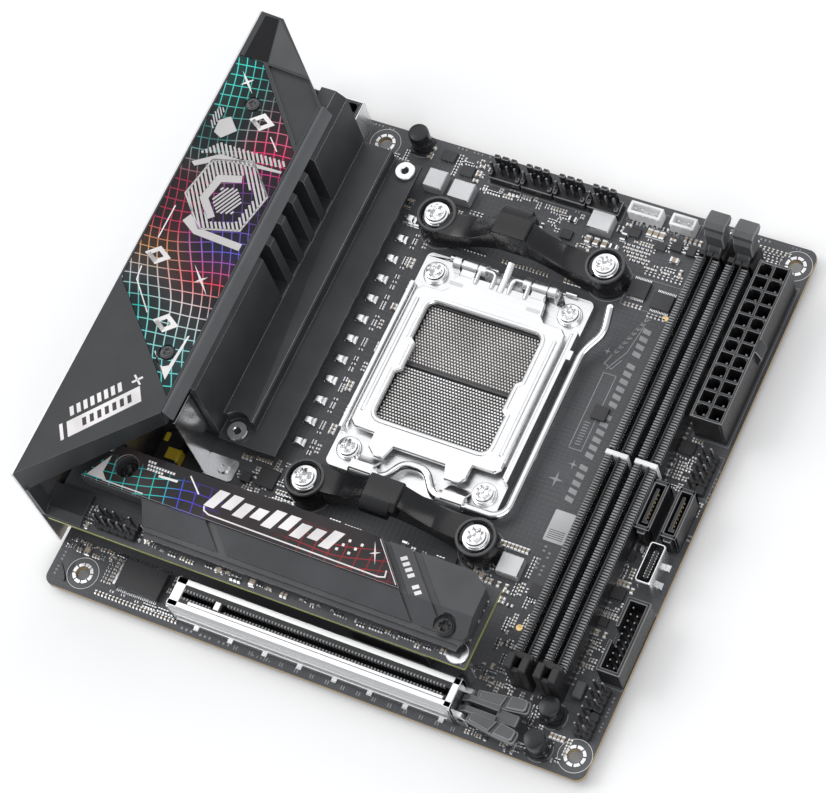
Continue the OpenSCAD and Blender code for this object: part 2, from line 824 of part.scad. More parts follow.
module load_plate() {
    color([0.86, 0.86, 0.87])
        on_board() {
            difference() {
                translate([0, 0, 4.1]) linear_extrude(1.2)
                    difference() {
                        union() {
                            round_rect(65.4, 113, 73.4, 121, 1.5);
                            round_rect(74, 104.4, 66.6, 128.4, 1.5);
                        }
                        difference() {
                            round_rect(71, 107, 78, 117.4, 2.4);
                            round_rect(69, 72.2, 91, 104, 1);
                            round_rect(105.8, 109, 91, 104, 1);
                        }
                        translate([79.4, 60]) square([19.2, 10.6]);
                    }
            }
            for (x = [75.6, 98]) {
                box(x, x + 4.6, 126, plate_axis_y, 4.1, 5.3);
                rod_x(x, x + 4.6, plate_axis_y, plate_axis_z, 1.9);
                rod_x(x - 2.6, x + 7, plate_axis_y, plate_axis_z, 1.1);
            }
        }
}

lever_path = [[70.8, lever_axis_y, lever_axis_z], [81.6, lever_axis_y, lever_axis_z],
    [86, 67.8, 4.4], [92.8, 67.8, 4.4], [97.2, lever_axis_y, lever_axis_z],
    [116.8, lever_axis_y, lever_axis_z], [119.6, lever_axis_y + 2.8, lever_axis_z],
    [119.6, 116.6, 4.2], [123.8, 123.4, 6], [122.6, 130.8, 7.4]];

module socket_lever() {
    color([0.82, 0.82, 0.83])
        on_board() bent_wire(lever_path, wire_r);
}

module frame_screws() {
    color([0.8, 0.8, 0.81])
        on_board()
            for (h = frame_holes)
                difference() {
                    union() {
                        post(h[0], h[1], 1.92, 4.6, 3.7);
                        post(h[0], h[1], -board_z + 0.4, 1.92, 1.75);
                    }
                    for (a = [0, 90])
                        translate([h[0], h[1], 4.4])
                            rotate([0, 0, a + 20]) cube([3.8, 0.9, 1.6], center = true);
                }
}

// Height of the bracket's bar at a distance from its middle
function bar_top(u) = u < hook_half ? hook_top
    : 9 + 9 * pow(max(0, 1 - (u - hook_half) / 15.8), 2);

// Height of the arch under the bracket's bar at a distance from its middle
function bar_under(u) = 0.8 + 7.6 * pow(cos(90 * min(u, 21) / 21), 0.8);

// Plastic cooler bracket: two bosses joined by an arched bar with a raised hook
module cooler_bracket(y, s) {
    color([0.07, 0.07, 0.08])
        on_board()
            difference() {
                union() {
                    for (i = [-1, 1])
                        post(socket_x + i * cooler_dx / 2, y, 0, 9.4, 6.2);
                    translate([socket_x, y - s * 1.2 + 3.5, 0]) rotate([90, 0, 0])
                        linear_extrude(7)
                            polygon([for (x = [-26 : 2 : -6]) [x, bar_top(-x)],
                                [-hook_half, 18], [-hook_half, hook_top], [hook_half, hook_top],
                                [hook_half, 18], for (x = [6 : 2 : 26]) [x, bar_top(x)],
                                for (x = [26 : -2 : -26]) [x, bar_under(abs(x))]]);
                    box(socket_x - 4.4, socket_x + 4.4, y + s * 4 - 1.9, y + s * 4 + 1.9,
                        14.6, 18.4);
                }
                for (i = [-1, 1]) {
                    post(socket_x + i * cooler_dx / 2, y, -1, 20, 2.2);
                    post(socket_x + i * cooler_dx / 2, y, 7.6, 20, 4.2);
                }
            }
}

module bracket_top() cooler_bracket(socket_y + cooler_dy / 2, 1);

module bracket_bottom() cooler_bracket(socket_y - cooler_dy / 2, -1);

module bracket_screws() {
    color([0.82, 0.82, 0.83])
        on_board()
            for (h = cooler_holes)
                difference() {
                    union() {
                        post(h[0], h[1], 7.62, 9, 4.1);
                        post(h[0], h[1], 9, 10.4, 3.3);
                        post(h[0], h[1], -board_z + 0.4, 7.62, 1.75);
                    }
                    for (a = [0, 90])
                        translate([h[0], h[1], 10.2])
                            rotate([0, 0, a + 10]) cube([4, 0.9, 2], center = true);
                }
}

module backplate() {
    color([0.5, 0.5, 0.52])
        on_board()
            difference() {
                slab(socket_x - 32, socket_x + 32, socket_y - 50, socket_y + 50,
                    -board_z, -board_t, 4);
                slab(socket_x - 13, socket_x + 13, socket_y - 14, socket_y + 14,
                    -board_z - 1, 0, 3);
                for (h = concat(cooler_holes, frame_holes))
                    post(h[0], h[1], -board_z - 1, 0, 1.8);
            }
}

module controllers() {
    color([0.08, 0.08, 0.09])
        on_board() {
            box(21.6, 35.4, 5.8, 14.6, 0, 2.2);
            box(45.4, 51.4, 48.4, 54.4, 0, 0.9);
            box(41, 44, 48, 51, 0, 1.6);
            box(122.8, 128.6, 139.6, 145, 0, 1.4);
            box(130.8, 136.8, 137.8, 143, 0, 1.4);
            box(128.6, 133, 100, 104.4, 0, 0.9);
            box(134, 138.2, 44, 48.2, 0, 0.9);
        }
}

// Coin cell in a yellow sleeve with a short lead
module battery() {
    color([0.82, 0.72, 0.2])
        on_board()
            slab(14.6, 22.2, 43, 55, 0, 4.4, 1.6);
}

module wifi_module() {
    color([0.6, 0.6, 0.62])
        on_board()
            union() {
                box(-1.16, 12.4, wifi_y[0], wifi_y[1], 0, 27);
                for (z = [7.5, 19.5])
                    rod_x(-1.9, -1.16, (wifi_y[0] + wifi_y[1]) / 2, z, 3.2);
            }
}

// Two stacked ports in one metal can
module usb_stack(u) {
    color([0.72, 0.72, 0.73])
        on_board() {
            difference() {
                box(-1.9, 16, u[0] + 0.35, u[1] - 0.35, 1.05, 16);
                for (z = [2, 9.3])
                    difference() {
                        box(-3, 9, u[0] + 0.9, u[1] - 0.9, z, z + 6);
                        box(-1.4, 10, u[0] + 1.8, u[1] - 1.8, z + 4.6, z + 5.6);
                    }
            }
            box(-1.1, 16, u[0], u[1], 0, 1.05);
            tails(2, u[0] + 2, 4, 2, 4, 10);
        }
}

module usb_stack_a() usb_stack(usb_y[0]);

module usb_stack_b() usb_stack(usb_y[1]);

module usb_stack_c() usb_stack(usb_y[2]);

module usb_c_ports() {
    color([0.72, 0.72, 0.73])
        on_board()
            difference() {
                union() {
                    box(-1.16, 12, usbc_y[0], usbc_y[1], 0, 19);
                    for (z = [2, 14])
                        box(-1.9, -1.16, usbc_y[0] + 1.9, usbc_y[1] - 1.9, z, z + 3.3);
                }
                for (z = [2, 14])
                    difference() {
                        box(-3, 6, usbc_y[0] + 2.3, usbc_y[1] - 2.3, z + 0.4, z + 2.9);
                        box(-1.5, 6, usbc_y[0] + 3.2, usbc_y[1] - 3.2, z + 1.3, z + 2);
                    }
            }
}

module video_port() {
    color([0.72, 0.72, 0.73])
        on_board() {
            difference() {
                box(-1.9, 12, video_y[0] + 0.4, video_y[1] - 0.4, 1, 6.8);
                difference() {
                    box(-3, 9, video_y[0] + 1, video_y[1] - 1, 1.6, 6.2);
                    box(-1.4, 9, video_y[0] + 2.6, video_y[1] - 2.6, 3.4, 4.8);
                }
            }
            box(0, 12, video_y[0], video_y[1], 0, 1);
        }
}

module lan_jack() {
    color([0.72, 0.72, 0.73])
        on_board() {
            difference() {
                box(-1.9, 20.6, lan_y[0] + 0.35, lan_y[1] - 0.35, 1.05, 26.5);
                box(-3, 12, lan_y[0] + 2.2, lan_y[1] - 2.2, 15.6, 24.6);
                box(-3, 12, lan_y[0] + 5, lan_y[1] - 5, 13.8, 16);
                difference() {
                    box(-3, 8, lan_y[0] + 2, lan_y[1] - 2, 3, 10);
                    box(-1.4, 8, lan_y[0] + 3, lan_y[1] - 3, 7, 9);
                }
            }
            box(-1.1, 20.6, lan_y[0], lan_y[1], 0, 1.05);
            tails(3, lan_y[0] + 3, 4, 2, 5, 10);
        }
}

module audio_jacks() {
    color([0.12, 0.12, 0.13])
        on_board()
            difference() {
                union() {
                    box(-1.16, 12, audio_y[0], audio_y[1], 0, 12.6);
                    for (j = [0, 1])
                        rod_x(-1.9, -1.16, audio_y[0] + 4.25 + j * 8.5, 6.3, 3.1);
                }
                for (j = [0, 1])
                    rod_x(-3, 9, audio_y[0] + 4.25 + j * 8.5, 6.3, 1.8);
            }
}

// Guides and switches behind the two push buttons
module button_switches() {
    color([0.1, 0.1, 0.11])
        on_board()
            difference() {
                box(1.2, 7.6, button_y - 2.9, button_y + 2.9, 0, 22.6);
                for (z = button_z) rod_x(1, 5.4, button_y, z, 2 + pin_play);
            }
}

// A push button behind the rear panel
module rear_button(z) {
    color([0.25, 0.25, 0.27])
        on_board() {
            rod_x(-1.95, 4, button_y, z, 2);
            rod_x(-0.9, -0.2, button_y, z, 2.8);
        }
}

module flash_button() rear_button(button_z[0]);

module clear_button() rear_button(button_z[1]);

pcb();
io_shield();
io_cover();
cover_panel();
cover_trim();
cover_screws();
vrm_heatsink();
vrm_pads();
power_stages();
vrm_chokes();
heatsink_screws();
side_bracket();
capacitors();
filter_chokes();
storage_board();
storage_heatsink();
storage_top_plate();
storage_standoffs();
stack_connectors();
chipset();
audio_header();
pcie_slot();
pcie_shell();
pcie_latch();
dimm_slots();
dimm_latch_a();
dimm_latch_b();
atx_power_socket();
cpu_power_socket();
cpu_power_shell();
sata_ports();
usb_c_header();
usb3_header();
usb2_header();
front_panel_header();
fan_headers();
light_headers();
cpu_socket();
socket_contacts();
load_frame();
load_plate();
socket_lever();
frame_screws();
bracket_top();
bracket_bottom();
bracket_screws();
backplate();
controllers();
battery();
wifi_module();
usb_stack_a();
usb_stack_b();
usb_stack_c();
usb_c_ports();
video_port();
lan_jack();
audio_jacks();
button_switches();
flash_button();
clear_button();
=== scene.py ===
"""Looks of a compact computer motherboard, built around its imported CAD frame."""
import math
import random

import bmesh
import bpy
from mathutils import Matrix, Vector


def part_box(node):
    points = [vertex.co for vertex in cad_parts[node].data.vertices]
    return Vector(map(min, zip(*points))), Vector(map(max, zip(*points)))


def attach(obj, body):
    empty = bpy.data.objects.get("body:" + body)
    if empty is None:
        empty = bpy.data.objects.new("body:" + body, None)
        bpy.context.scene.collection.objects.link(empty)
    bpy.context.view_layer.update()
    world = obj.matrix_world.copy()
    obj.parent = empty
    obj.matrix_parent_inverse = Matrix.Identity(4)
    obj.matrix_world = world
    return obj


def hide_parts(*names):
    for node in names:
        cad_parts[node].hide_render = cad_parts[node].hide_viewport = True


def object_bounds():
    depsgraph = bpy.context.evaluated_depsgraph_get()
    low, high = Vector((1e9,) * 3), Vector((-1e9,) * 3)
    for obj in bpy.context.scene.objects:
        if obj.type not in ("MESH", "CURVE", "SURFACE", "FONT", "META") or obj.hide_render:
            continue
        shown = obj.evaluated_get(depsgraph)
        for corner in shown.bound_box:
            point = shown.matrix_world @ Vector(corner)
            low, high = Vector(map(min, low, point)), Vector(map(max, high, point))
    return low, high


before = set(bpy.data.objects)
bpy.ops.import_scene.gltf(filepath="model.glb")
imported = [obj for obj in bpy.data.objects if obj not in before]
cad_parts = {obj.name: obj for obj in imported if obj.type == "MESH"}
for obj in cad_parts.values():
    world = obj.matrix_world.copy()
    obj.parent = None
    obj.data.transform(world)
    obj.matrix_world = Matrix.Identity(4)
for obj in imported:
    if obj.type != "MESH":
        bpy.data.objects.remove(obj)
cad_low, cad_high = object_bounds()
random.seed(7)

MM = 0.001
# Board coordinates: millimetres from the rear edge, from the slot edge and up from the board.
pcb_low, pcb_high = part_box("pcb")
BOARD = Matrix.Translation((pcb_low.x, pcb_low.y, pcb_high.z)) @ Matrix.Scale(MM, 4)
SOCKET = Vector((89.2, 97.4))
BRACKET_Y = (52.4, 142.4)
BRACKET_REACH = 27
CAN_SPOTS = ((44.7, 166.4), (155.2, 14.6), (155.2, 4.8))
INK_THICK = 0.03
RUN_THICK = 0.012
MOUNT_HOLES = ((10.16, 6.35), (165.1, 6.35), (165.1, 163.83), (33.02, 163.83))


# ---------------------------------------------------------------- materials

def add_node(tree, kind, values=(), **settings):
    """Adds a shader node. A value that is a socket is linked, and any other is set."""
    made = tree.nodes.new("ShaderNode" + kind)
    for key, value in settings.items():
        setattr(made, key, value)
    for key, value in dict(values).items():
        if isinstance(value, bpy.types.NodeSocket):
            tree.links.new(value, made.inputs[key])
        else:
            made.inputs[key].default_value = value
    return made


def maths(tree, what, *values):
    """The result of a Math node on sockets or numbers."""
    made = tree.nodes.new("ShaderNodeMath")
    made.operation = what
    for i, value in enumerate(values):
        if isinstance(value, bpy.types.NodeSocket):
            tree.links.new(value, made.inputs[i])
        else:
            made.inputs[i].default_value = value
    return made.outputs[0]


def blend_colours(tree, share, a, b):
    """Colour a where share is 0 and b where it is 1."""
    made = tree.nodes.new("ShaderNodeMix")
    made.data_type = "RGBA"
    for i, value in ((0, share), (6, a), (7, b)):
        if isinstance(value, bpy.types.NodeSocket):
            tree.links.new(value, made.inputs[i])
        else:
            made.inputs[i].default_value = value
    return made.outputs[2]


def shade(colour, by):
    """A colour made lighter or darker by a factor."""
    return tuple(min(1.0, c * by) for c in colour[:3]) + (1.0,)


def new_material(name):
    """A material with one Principled shader, and where its surface points are."""
    made = bpy.data.materials.new(name)
    made.use_nodes = True
    tree = made.node_tree
    shader = tree.nodes["Principled BSDF"]
    where = add_node(tree, "TexCoord").outputs["Object"]
    return made, tree, shader, where


def surface(tree, shader, where, colour, rough, grain, depth, vary=0.12, rough_vary=0.12, mottle=90):
    """Colour mottling, uneven gloss and a fine grain in relief for one shader.

    colour is a colour or a socket, grain is the relief's noise scale and depth its height in metres."""
    fine = add_node(tree, "TexNoise", {"Vector": where, "Scale": grain, "Detail": 4.0})
    broad = add_node(tree, "TexNoise", {"Vector": where, "Scale": mottle, "Detail": 3.0})
    share = add_node(tree, "MapRange", {"Value": broad.outputs["Fac"], "From Min": 0.35,
                                        "From Max": 0.65}).outputs[0]
    if isinstance(colour, bpy.types.NodeSocket):
        dark = add_node(tree, "HueSaturation", {"Color": colour, "Value": 1 - vary}).outputs[0]
        paint = blend_colours(tree, share, dark, colour)
    else:
        paint = blend_colours(tree, share, shade(colour, 1 - vary), shade(colour, 1 + vary))
    tree.links.new(paint, shader.inputs["Base Color"])
    gloss = add_node(tree, "MapRange", {"Value": fine.outputs["Fac"], "From Min": 0.3,
                                        "From Max": 0.7, "To Min": max(0.03, rough - rough_vary),
                                        "To Max": min(1.0, rough + rough_vary)}).outputs[0]
    tree.links.new(gloss, shader.inputs["Roughness"])
    relief = add_node(tree, "Bump", {"Height": fine.outputs["Fac"], "Distance": depth,
                                     "Strength": 0.6})
    tree.links.new(relief.outputs[0], shader.inputs["Normal"])
    return relief


def plain(name, colour, rough, metal=0.0, grain=2500, depth=4e-5, vary=0.12, rough_vary=0.12,
          specular=0.5, coat=0.0):
    """A plastic, painted or metal finish."""
    made, tree, shader, where = new_material(name)
    shader.inputs["Metallic"].default_value = metal
    shader.inputs["Specular IOR Level"].default_value = specular
    shader.inputs["Coat Weight"].default_value = coat
    surface(tree, shader, where, colour, rough, grain, depth, vary, rough_vary)
    return made


def brushed(name, colour, rough, along=(40, 2500, 2500), depth=4e-6):
    """Bare metal with fine lines along one direction."""
    made, tree, shader, where = new_material(name)
    shader.inputs["Metallic"].default_value = 1.0
    drawn = add_node(tree, "Mapping", {"Vector": where, "Scale": along}).outputs[0]
    surface(tree, shader, drawn, colour, rough, 1.0, depth, 0.025, 0.05, 0.4)
    return made


def board_material(name, edge):
    """Dark solder mask with a faint weave, and bare laminate on the cut edge."""
    made, tree, shader, where = new_material(name)
    facing = add_node(tree, "SeparateXYZ", {
        "Vector": add_node(tree, "NewGeometry").outputs["True Normal"]}).outputs["Z"]
    flat = maths(tree, "GREATER_THAN", maths(tree, "ABSOLUTE", facing), 0.5)
    weave = maths(tree, "MULTIPLY", *(add_node(tree, "TexWave", {
        "Vector": where, "Scale": 210.0, "Distortion": 0.6}, bands_direction=way).outputs["Fac"]
        for way in "XY"))
    mask = blend_colours(tree, weave, (0.066, 0.067, 0.073, 1), (0.08, 0.082, 0.088, 1))
    paint = blend_colours(tree, flat, edge, mask)
    surface(tree, shader, where, paint, 0.46, 1800, 2e-5)
    return made


MASK = board_material("solder_mask", (0.42, 0.3, 0.15, 1))
BLACK = plain("black_plastic", (0.016, 0.016, 0.017), 0.42, depth=3e-5)
# Dark grey plastic for small screws and the contact base, also laid on the bevels of black parts as a
# painted highlight.
GREY_PLASTIC_AND_EDGE_HIGHLIGHT = plain("grey_plastic_and_edge_highlight", (0.07, 0.07, 0.073), 0.35, depth=2e-5)
# Near-black disc in the ring screws' centres: painted shade in the hole.
PAINTED_HOLE_SHADE = plain("painted_hole_shade", (0.006, 0.006, 0.007), 0.6)
COVER = plain("cover_paint", (0.03, 0.031, 0.033), 0.4, grain=3500, depth=3e-5)
# Lighter cover paint on the cover's bevels: a painted highlight.
COVER_EDGE_HIGHLIGHT = plain("cover_edge_painted_highlight", (0.13, 0.132, 0.14), 0.35)
SINK = plain("blasted_aluminium", (0.05, 0.051, 0.054), 0.42, metal=0.3, grain=4500, depth=5e-5)
# Bright metal on the heatsinks' bevels: a painted highlight.
SINK_EDGE_HIGHLIGHT = plain("aluminium_edge_painted_highlight", (0.42, 0.43, 0.44), 0.3, metal=0.8)
SLATE = plain("storage_paint", (0.052, 0.053, 0.057), 0.42, grain=3500, depth=3e-5)
# Lighter paint on the storage heatsink's bevels: a painted highlight.
SLATE_EDGE_HIGHLIGHT = plain("storage_edge_painted_highlight", (0.22, 0.22, 0.23), 0.35)
TRIM = plain("trim_metal", (0.14, 0.142, 0.148), 0.36, metal=0.6, grain=3500, depth=8e-6, vary=0.05,
             rough_vary=0.06)
STEEL = brushed("stainless_steel", (0.84, 0.84, 0.845), 0.3)
CAST = plain("polished_metal", (0.87, 0.87, 0.875), 0.2, metal=1.0, grain=900, depth=3e-6, vary=0.03,
             rough_vary=0.05)
SHIELD = brushed("shield_metal", (0.66, 0.66, 0.67), 0.38, (1500, 25, 1500))
SATIN = plain("satin_metal", (0.62, 0.62, 0.63), 0.34, metal=1.0, grain=1500, depth=8e-6, vary=0.05,
              rough_vary=0.05)
# Tinned metal for pins, leads and chip ends, also laid on the bevels of metal parts as a painted highlight.
TIN_AND_EDGE_HIGHLIGHT = plain("tinned_metal_and_edge_highlight", (0.82, 0.82, 0.83), 0.28, metal=1.0, grain=1200)
GOLD = plain("gold_plate", (0.85, 0.6, 0.26), 0.28, metal=1.0)
PIN = plain("dark_pin", (0.3, 0.3, 0.32), 0.28, metal=1.0)
CHOKE = plain("choke_metal", (0.62, 0.62, 0.63), 0.42, metal=0.5, grain=1600, depth=1.5e-5, vary=0.05)
CHIP = plain("chip_resin", (0.035, 0.035, 0.037), 0.5, grain=3200, depth=5e-5)
CERAMIC = plain("chip_capacitor", (0.4, 0.33, 0.25), 0.4)
WHITE = plain("white_nylon", (0.8, 0.8, 0.8), 0.42)
INK = plain("white_ink", (0.72, 0.72, 0.72), 0.55)
FAINT_INK = plain("grey_ink", (0.3, 0.3, 0.31), 0.55)
COPPER_MASK = plain("masked_copper", (0.086, 0.088, 0.094), 0.42)
YELLOW = plain("battery_sleeve", (0.78, 0.55, 0.03), 0.4)
# Grey slot plastic, also laid on the rims of black sockets, ports and latches as a painted highlight.
SLOT_GREY_AND_RIM_HIGHLIGHT = plain("slot_plastic_and_rim_highlight", (0.25, 0.252, 0.26), 0.4)
BRACKET = plain("bracket_plastic", (0.009, 0.009, 0.01), 0.26, depth=1e-5, rough_vary=0.05)
# Lighter and darker cover paint for two patches at the cover's far end: a painted highlight and a painted
# shade for facets of the real top.
FACET_PAINTED_HIGHLIGHT = plain("cover_facet_painted_highlight", (0.062, 0.063, 0.066), 0.4, grain=3500, depth=3e-5)
FACET_PAINTED_SHADE = plain("cover_facet_painted_shade", (0.008, 0.008, 0.009), 0.5, grain=3500, depth=3e-5, specular=0.2)
LAMINATE = board_material("storage_laminate", (0.34, 0.36, 0.1, 1))
LIME = plain("laminate_edge", (0.3, 0.32, 0.12), 0.5)
CAN = plain("anodised_can", (0.03, 0.031, 0.034), 0.28, metal=0.5)
CAN_TOP = plain("can_top", (0.17, 0.172, 0.178), 0.4, metal=0.5)
BLADE = plain("contact_blade", (0.95, 0.93, 0.9), 0.4, metal=0.7)
# A darker copy of the blade finish for one half of the contact field: painted shade.
BLADE_PAINTED_SHADE = plain("contact_blade_painted_shade", (0.74, 0.72, 0.7), 0.4, metal=0.7)
LATCH = plain("latch_plastic", (0.085, 0.087, 0.09), 0.42)
BATTERY_RED = plain("red_wire", (0.5, 0.02, 0.015), 0.4)
STICKER = plain("silver_sticker", (0.5, 0.5, 0.51), 0.4)
VIA = plain("masked_via", (0.1, 0.1, 0.105), 0.4)
TEAL = plain("teal_plastic", (0.02, 0.2, 0.24), 0.4, depth=2e-5)
GREEN_LENS = plain("green_lens", (0.12, 0.4, 0.1), 0.2, depth=1e-5)
AMBER_LENS = plain("amber_lens", (0.6, 0.3, 0.04), 0.2, depth=1e-5)


# ---------------------------------------------------------------- geometry in board millimetres

def rectangle(x0, x1, y0, y1, cut=0.0):
    """A rectangle's outline with its corners cut off."""
    if not cut:
        return [(x0, y0), (x1, y0), (x1, y1), (x0, y1)]
    return [(x0 + cut, y0), (x1 - cut, y0), (x1, y0 + cut), (x1, y1 - cut), (x1 - cut, y1),
            (x0 + cut, y1), (x0, y1 - cut), (x0, y0 + cut)]


def round_rectangle(x0, x1, y0, y1, r, steps=5):
    """A rectangle's outline with round corners."""
    corners = ((x1 - r, y0 + r, -90), (x1 - r, y1 - r, 0), (x0 + r, y1 - r, 90), (x0 + r, y0 + r, 180))
    return [(cx + r * math.cos(math.radians(a + 90 * k / steps)),
             cy + r * math.sin(math.radians(a + 90 * k / steps)))
            for cx, cy, a in corners for k in range(steps + 1)]


def circle(x, y, r, sides=24, turn=0.0):
    """A circle's outline."""
    return [(x + r * math.cos(turn + math.tau * k / sides), y + r * math.sin(turn + math.tau * k / sides))
            for k in range(sides)]


def area(outline):
    """The signed area of an outline, which is positive if it runs anticlockwise."""
    return sum(a[0] * b[1] - b[0] * a[1] for a, b in zip(outline, outline[1:] + outline[:1])) / 2


def inset(outline, by):
    """The outline moved inwards by a distance, corner by corner."""
    if not by:
        return list(outline)
    n = len(outline)
    side = 1 if area(outline) > 0 else -1
    moved = []
    for i in range(n):
        p, q, r = (Vector(outline[(i + k) % n]) for k in (-1, 0, 1))
        u, v = (q - p).normalized(), (r - q).normalized()
        a, b = Vector((-u.y, u.x)) * side, Vector((-v.y, v.x)) * side
        half = (a + b) / max(0.35, 1 + a.dot(b))
        moved.append(tuple(q + half * by))
    return moved


class Shape:
    """Closed solids gathered into one piece. Each call adds one solid in the current slot."""

    AXES = {"z": lambda u, v, w: (u, v, w), "y": lambda u, v, w: (u, w, v),
            "x": lambda u, v, w: (w, u, v)}

    def __init__(self):
        self.points, self.faces, self.slots = [], [], []
        self.slot, self.highlight_edge_slot = 0, None
        self.place = Matrix.Identity(4)

    def add(self, points, faces, slots=None):
        """Adds points and the faces between them, moved to the shape's current place."""
        base = len(self.points)
        self.points += [self.place @ Vector(p) for p in points]
        self.faces += [tuple(base + i for i in f) for f in faces]
        self.slots += slots or [self.slot] * len(faces)

    def loft(self, rings, ends=True, edges=()):
        """Joins rings of points side by side. The bands named in edges take the highlight edge slot, whose
        finish is a painted highlight along the rims.
        """
        n = len(rings[0])
        edge = self.slot if self.highlight_edge_slot is None else self.highlight_edge_slot
        faces, slots = [], []
        for i in range(len(rings) - 1):
            for k in range(n):
                m = (k + 1) % n
                faces.append((i * n + k, i * n + m, (i + 1) * n + m, (i + 1) * n + k))
                slots.append(edge if i in edges else self.slot)
        if ends:
            last = (len(rings) - 1) * n
            faces += [tuple(reversed(range(n))), tuple(last + k for k in range(n))]
            slots += [self.slot] * 2
        self.add([p for ring in rings for p in ring], faces, slots)

    def prism(self, outline, w0, w1, bevel=0.12, axis="z", low=True):
        """An outline raised from w0 to w1 along an axis, with bevelled rims."""
        to = self.AXES[axis]
        inner = inset(outline, bevel)
        levels = [(inner, w0), (outline, w0 + bevel)] if low and bevel else [(outline, w0)]
        levels += [(outline, w1 - bevel), (inner, w1)] if bevel else [(outline, w1)]
        rims = {0, len(levels) - 2} if low and bevel else {len(levels) - 2}
        self.loft([[to(u, v, w) for u, v in ring] for ring, w in levels],
                  edges=rims if bevel else ())

    def block(self, x0, x1, y0, y1, z0, z1, bevel=0.12, low=False):
        """A box with all its upper and upright edges bevelled."""
        self.prism(rectangle(x0, x1, y0, y1, bevel), z0, z1, bevel, low=low)

    def blocks(self, *rows):
        """Several boxes, each row holding one block's values."""
        for row in rows:
            self.block(*row)

    def flat(self, outline, z, thick=INK_THICK):
        """A flat printed patch on a level surface."""
        self.prism(outline, z, z + thick, 0)

    def turned(self, x, y, profile, sides=28, z=0.0, turn=0.0, edges=()):
        """A solid of revolution about an upright axis, from (radius, height) pairs."""
        self.loft([[(px, py, z + h) for px, py in circle(x, y, r, sides, turn)] for r, h in profile],
                  edges=edges)

    def tube(self, path, r, sides=12, closed=False, flat=1.0):
        """A round rod along a path; flat squeezes it along the bend's own normal."""
        path = [Vector(p) for p in path]
        n = len(path)
        side = None
        rings = []
        for i, p in enumerate(path):
            before = path[i - 1] if i or closed else p
            after = path[(i + 1) % n] if i < n - 1 or closed else p
            along = (after - before).normalized()
            if side is None:
                side = along.cross(Vector((0, 0, 1)) if abs(along.z) < 0.9 else Vector((1, 0, 0)))
            side = (side - along * side.dot(along)).normalized()
            up = along.cross(side)
            rings.append([p + side * (r * math.cos(math.tau * k / sides))
                          + up * (r * flat * math.sin(math.tau * k / sides)) for k in range(sides)])
        if closed:
            rings.append(rings[0])
        self.loft(rings, ends=not closed)

    def stroke(self, path, width, z, thick=INK_THICK):
        """A flat printed line on a level surface."""
        path = [Vector(p) for p in path]
        left, right = [], []
        for i, p in enumerate(path):
            u = (p - path[i - 1]).normalized() if i else (path[1] - p).normalized()
            v = (path[i + 1] - p).normalized() if i < len(path) - 1 else u
            normal = Vector((-u.y - v.y, u.x + v.x))
            normal = normal.normalized() / max(0.5, math.sqrt(max(0.0, (1 + u.dot(v)) / 2)))
            left.append(p + normal * width / 2)
            right.append(p - normal * width / 2)
        for i in range(len(path) - 1):
            self.flat([left[i], right[i], right[i + 1], left[i + 1]], z, thick)

    def ring(self, x, y, r0, r1, z0, z1, sides=36):
        """A flat ring."""
        self.loft([[(px, py, h) for px, py in circle(x, y, r, sides)]
                   for r, h in ((r0, z0), (r1, z0), (r1, z1), (r0, z1), (r0, z0))], ends=False)

    def piece(self, name, body, materials, slot, replaces=(), smooth=35):
        """Makes the object, in the frame's metres, and puts it on its body."""
        mesh = bpy.data.meshes.new(name)
        mesh.from_pydata([BOARD @ p for p in self.points], [], self.faces)
        for material in materials:
            mesh.materials.append(material)
        mesh.polygons.foreach_set("material_index", self.slots)
        work = bmesh.new()
        work.from_mesh(mesh)
        bmesh.ops.remove_doubles(work, verts=work.verts, dist=1e-7)
        bmesh.ops.recalc_face_normals(work, faces=work.faces)
        work.to_mesh(mesh)
        work.free()
        mesh.shade_smooth()
        mesh.set_sharp_from_angle(angle=math.radians(smooth))
        made = bpy.data.objects.new(name, mesh)
        bpy.context.scene.collection.objects.link(made)
        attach(made, body)
        for node_name in replaces:
            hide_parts(node_name)
        return made


def smooth_path(points, reach=1.0, steps=4):
    """A path with each corner rounded, starting the bend a distance before it."""
    points = [Vector(p) for p in points]
    out = [points[0]]
    for i in range(1, len(points) - 1):
        p, q, r = points[i - 1], points[i], points[i + 1]
        near = min(reach, (q - p).length * 0.48, (r - q).length * 0.48)
        a, b = q + (p - q).normalized() * near, q + (r - q).normalized() * near
        for k in range(steps + 1):
            t = k / steps
            out.append(a * (1 - t) ** 2 + q * 2 * t * (1 - t) + b * t ** 2)
    out.append(points[-1])
    return out


# ---------------------------------------------------------------- CAD nodes that keep their shape

def dress(node_name, material, edge=None, bevel=0.0, smooth=35, made=None):
    """Gives a CAD node, or the piece that stands for it, its finish.

    A bevel softens its edges, in a second finish where one is given; a lighter second finish is a painted
    highlight along those edges."""
    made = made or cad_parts[node_name]
    made.data.materials.clear()
    made.data.materials.append(material)
    made.data.materials.append(edge or material)
    for face in made.data.polygons:
        face.material_index = 0
    made.data.shade_smooth()
    made.data.set_sharp_from_angle(angle=math.radians(smooth))
    if bevel:
        weld = made.modifiers.new("weld", "WELD")
        weld.merge_threshold = 1e-6
        flat = made.modifiers.new("flat", "DECIMATE")
        flat.decimate_type = "DISSOLVE"
        flat.angle_limit = math.radians(2)
        soft = made.modifiers.new("soft", "BEVEL")
        soft.width = bevel * MM
        soft.segments = 1
        soft.limit_method = "ANGLE"
        soft.angle_limit = math.radians(40)
        # the bevel faces take the second finish, a painted highlight where it is lighter
        soft.material = 1
        split = made.modifiers.new("split", "EDGE_SPLIT")
        split.split_angle = math.radians(25)
        split.use_edge_sharp = False
    return made


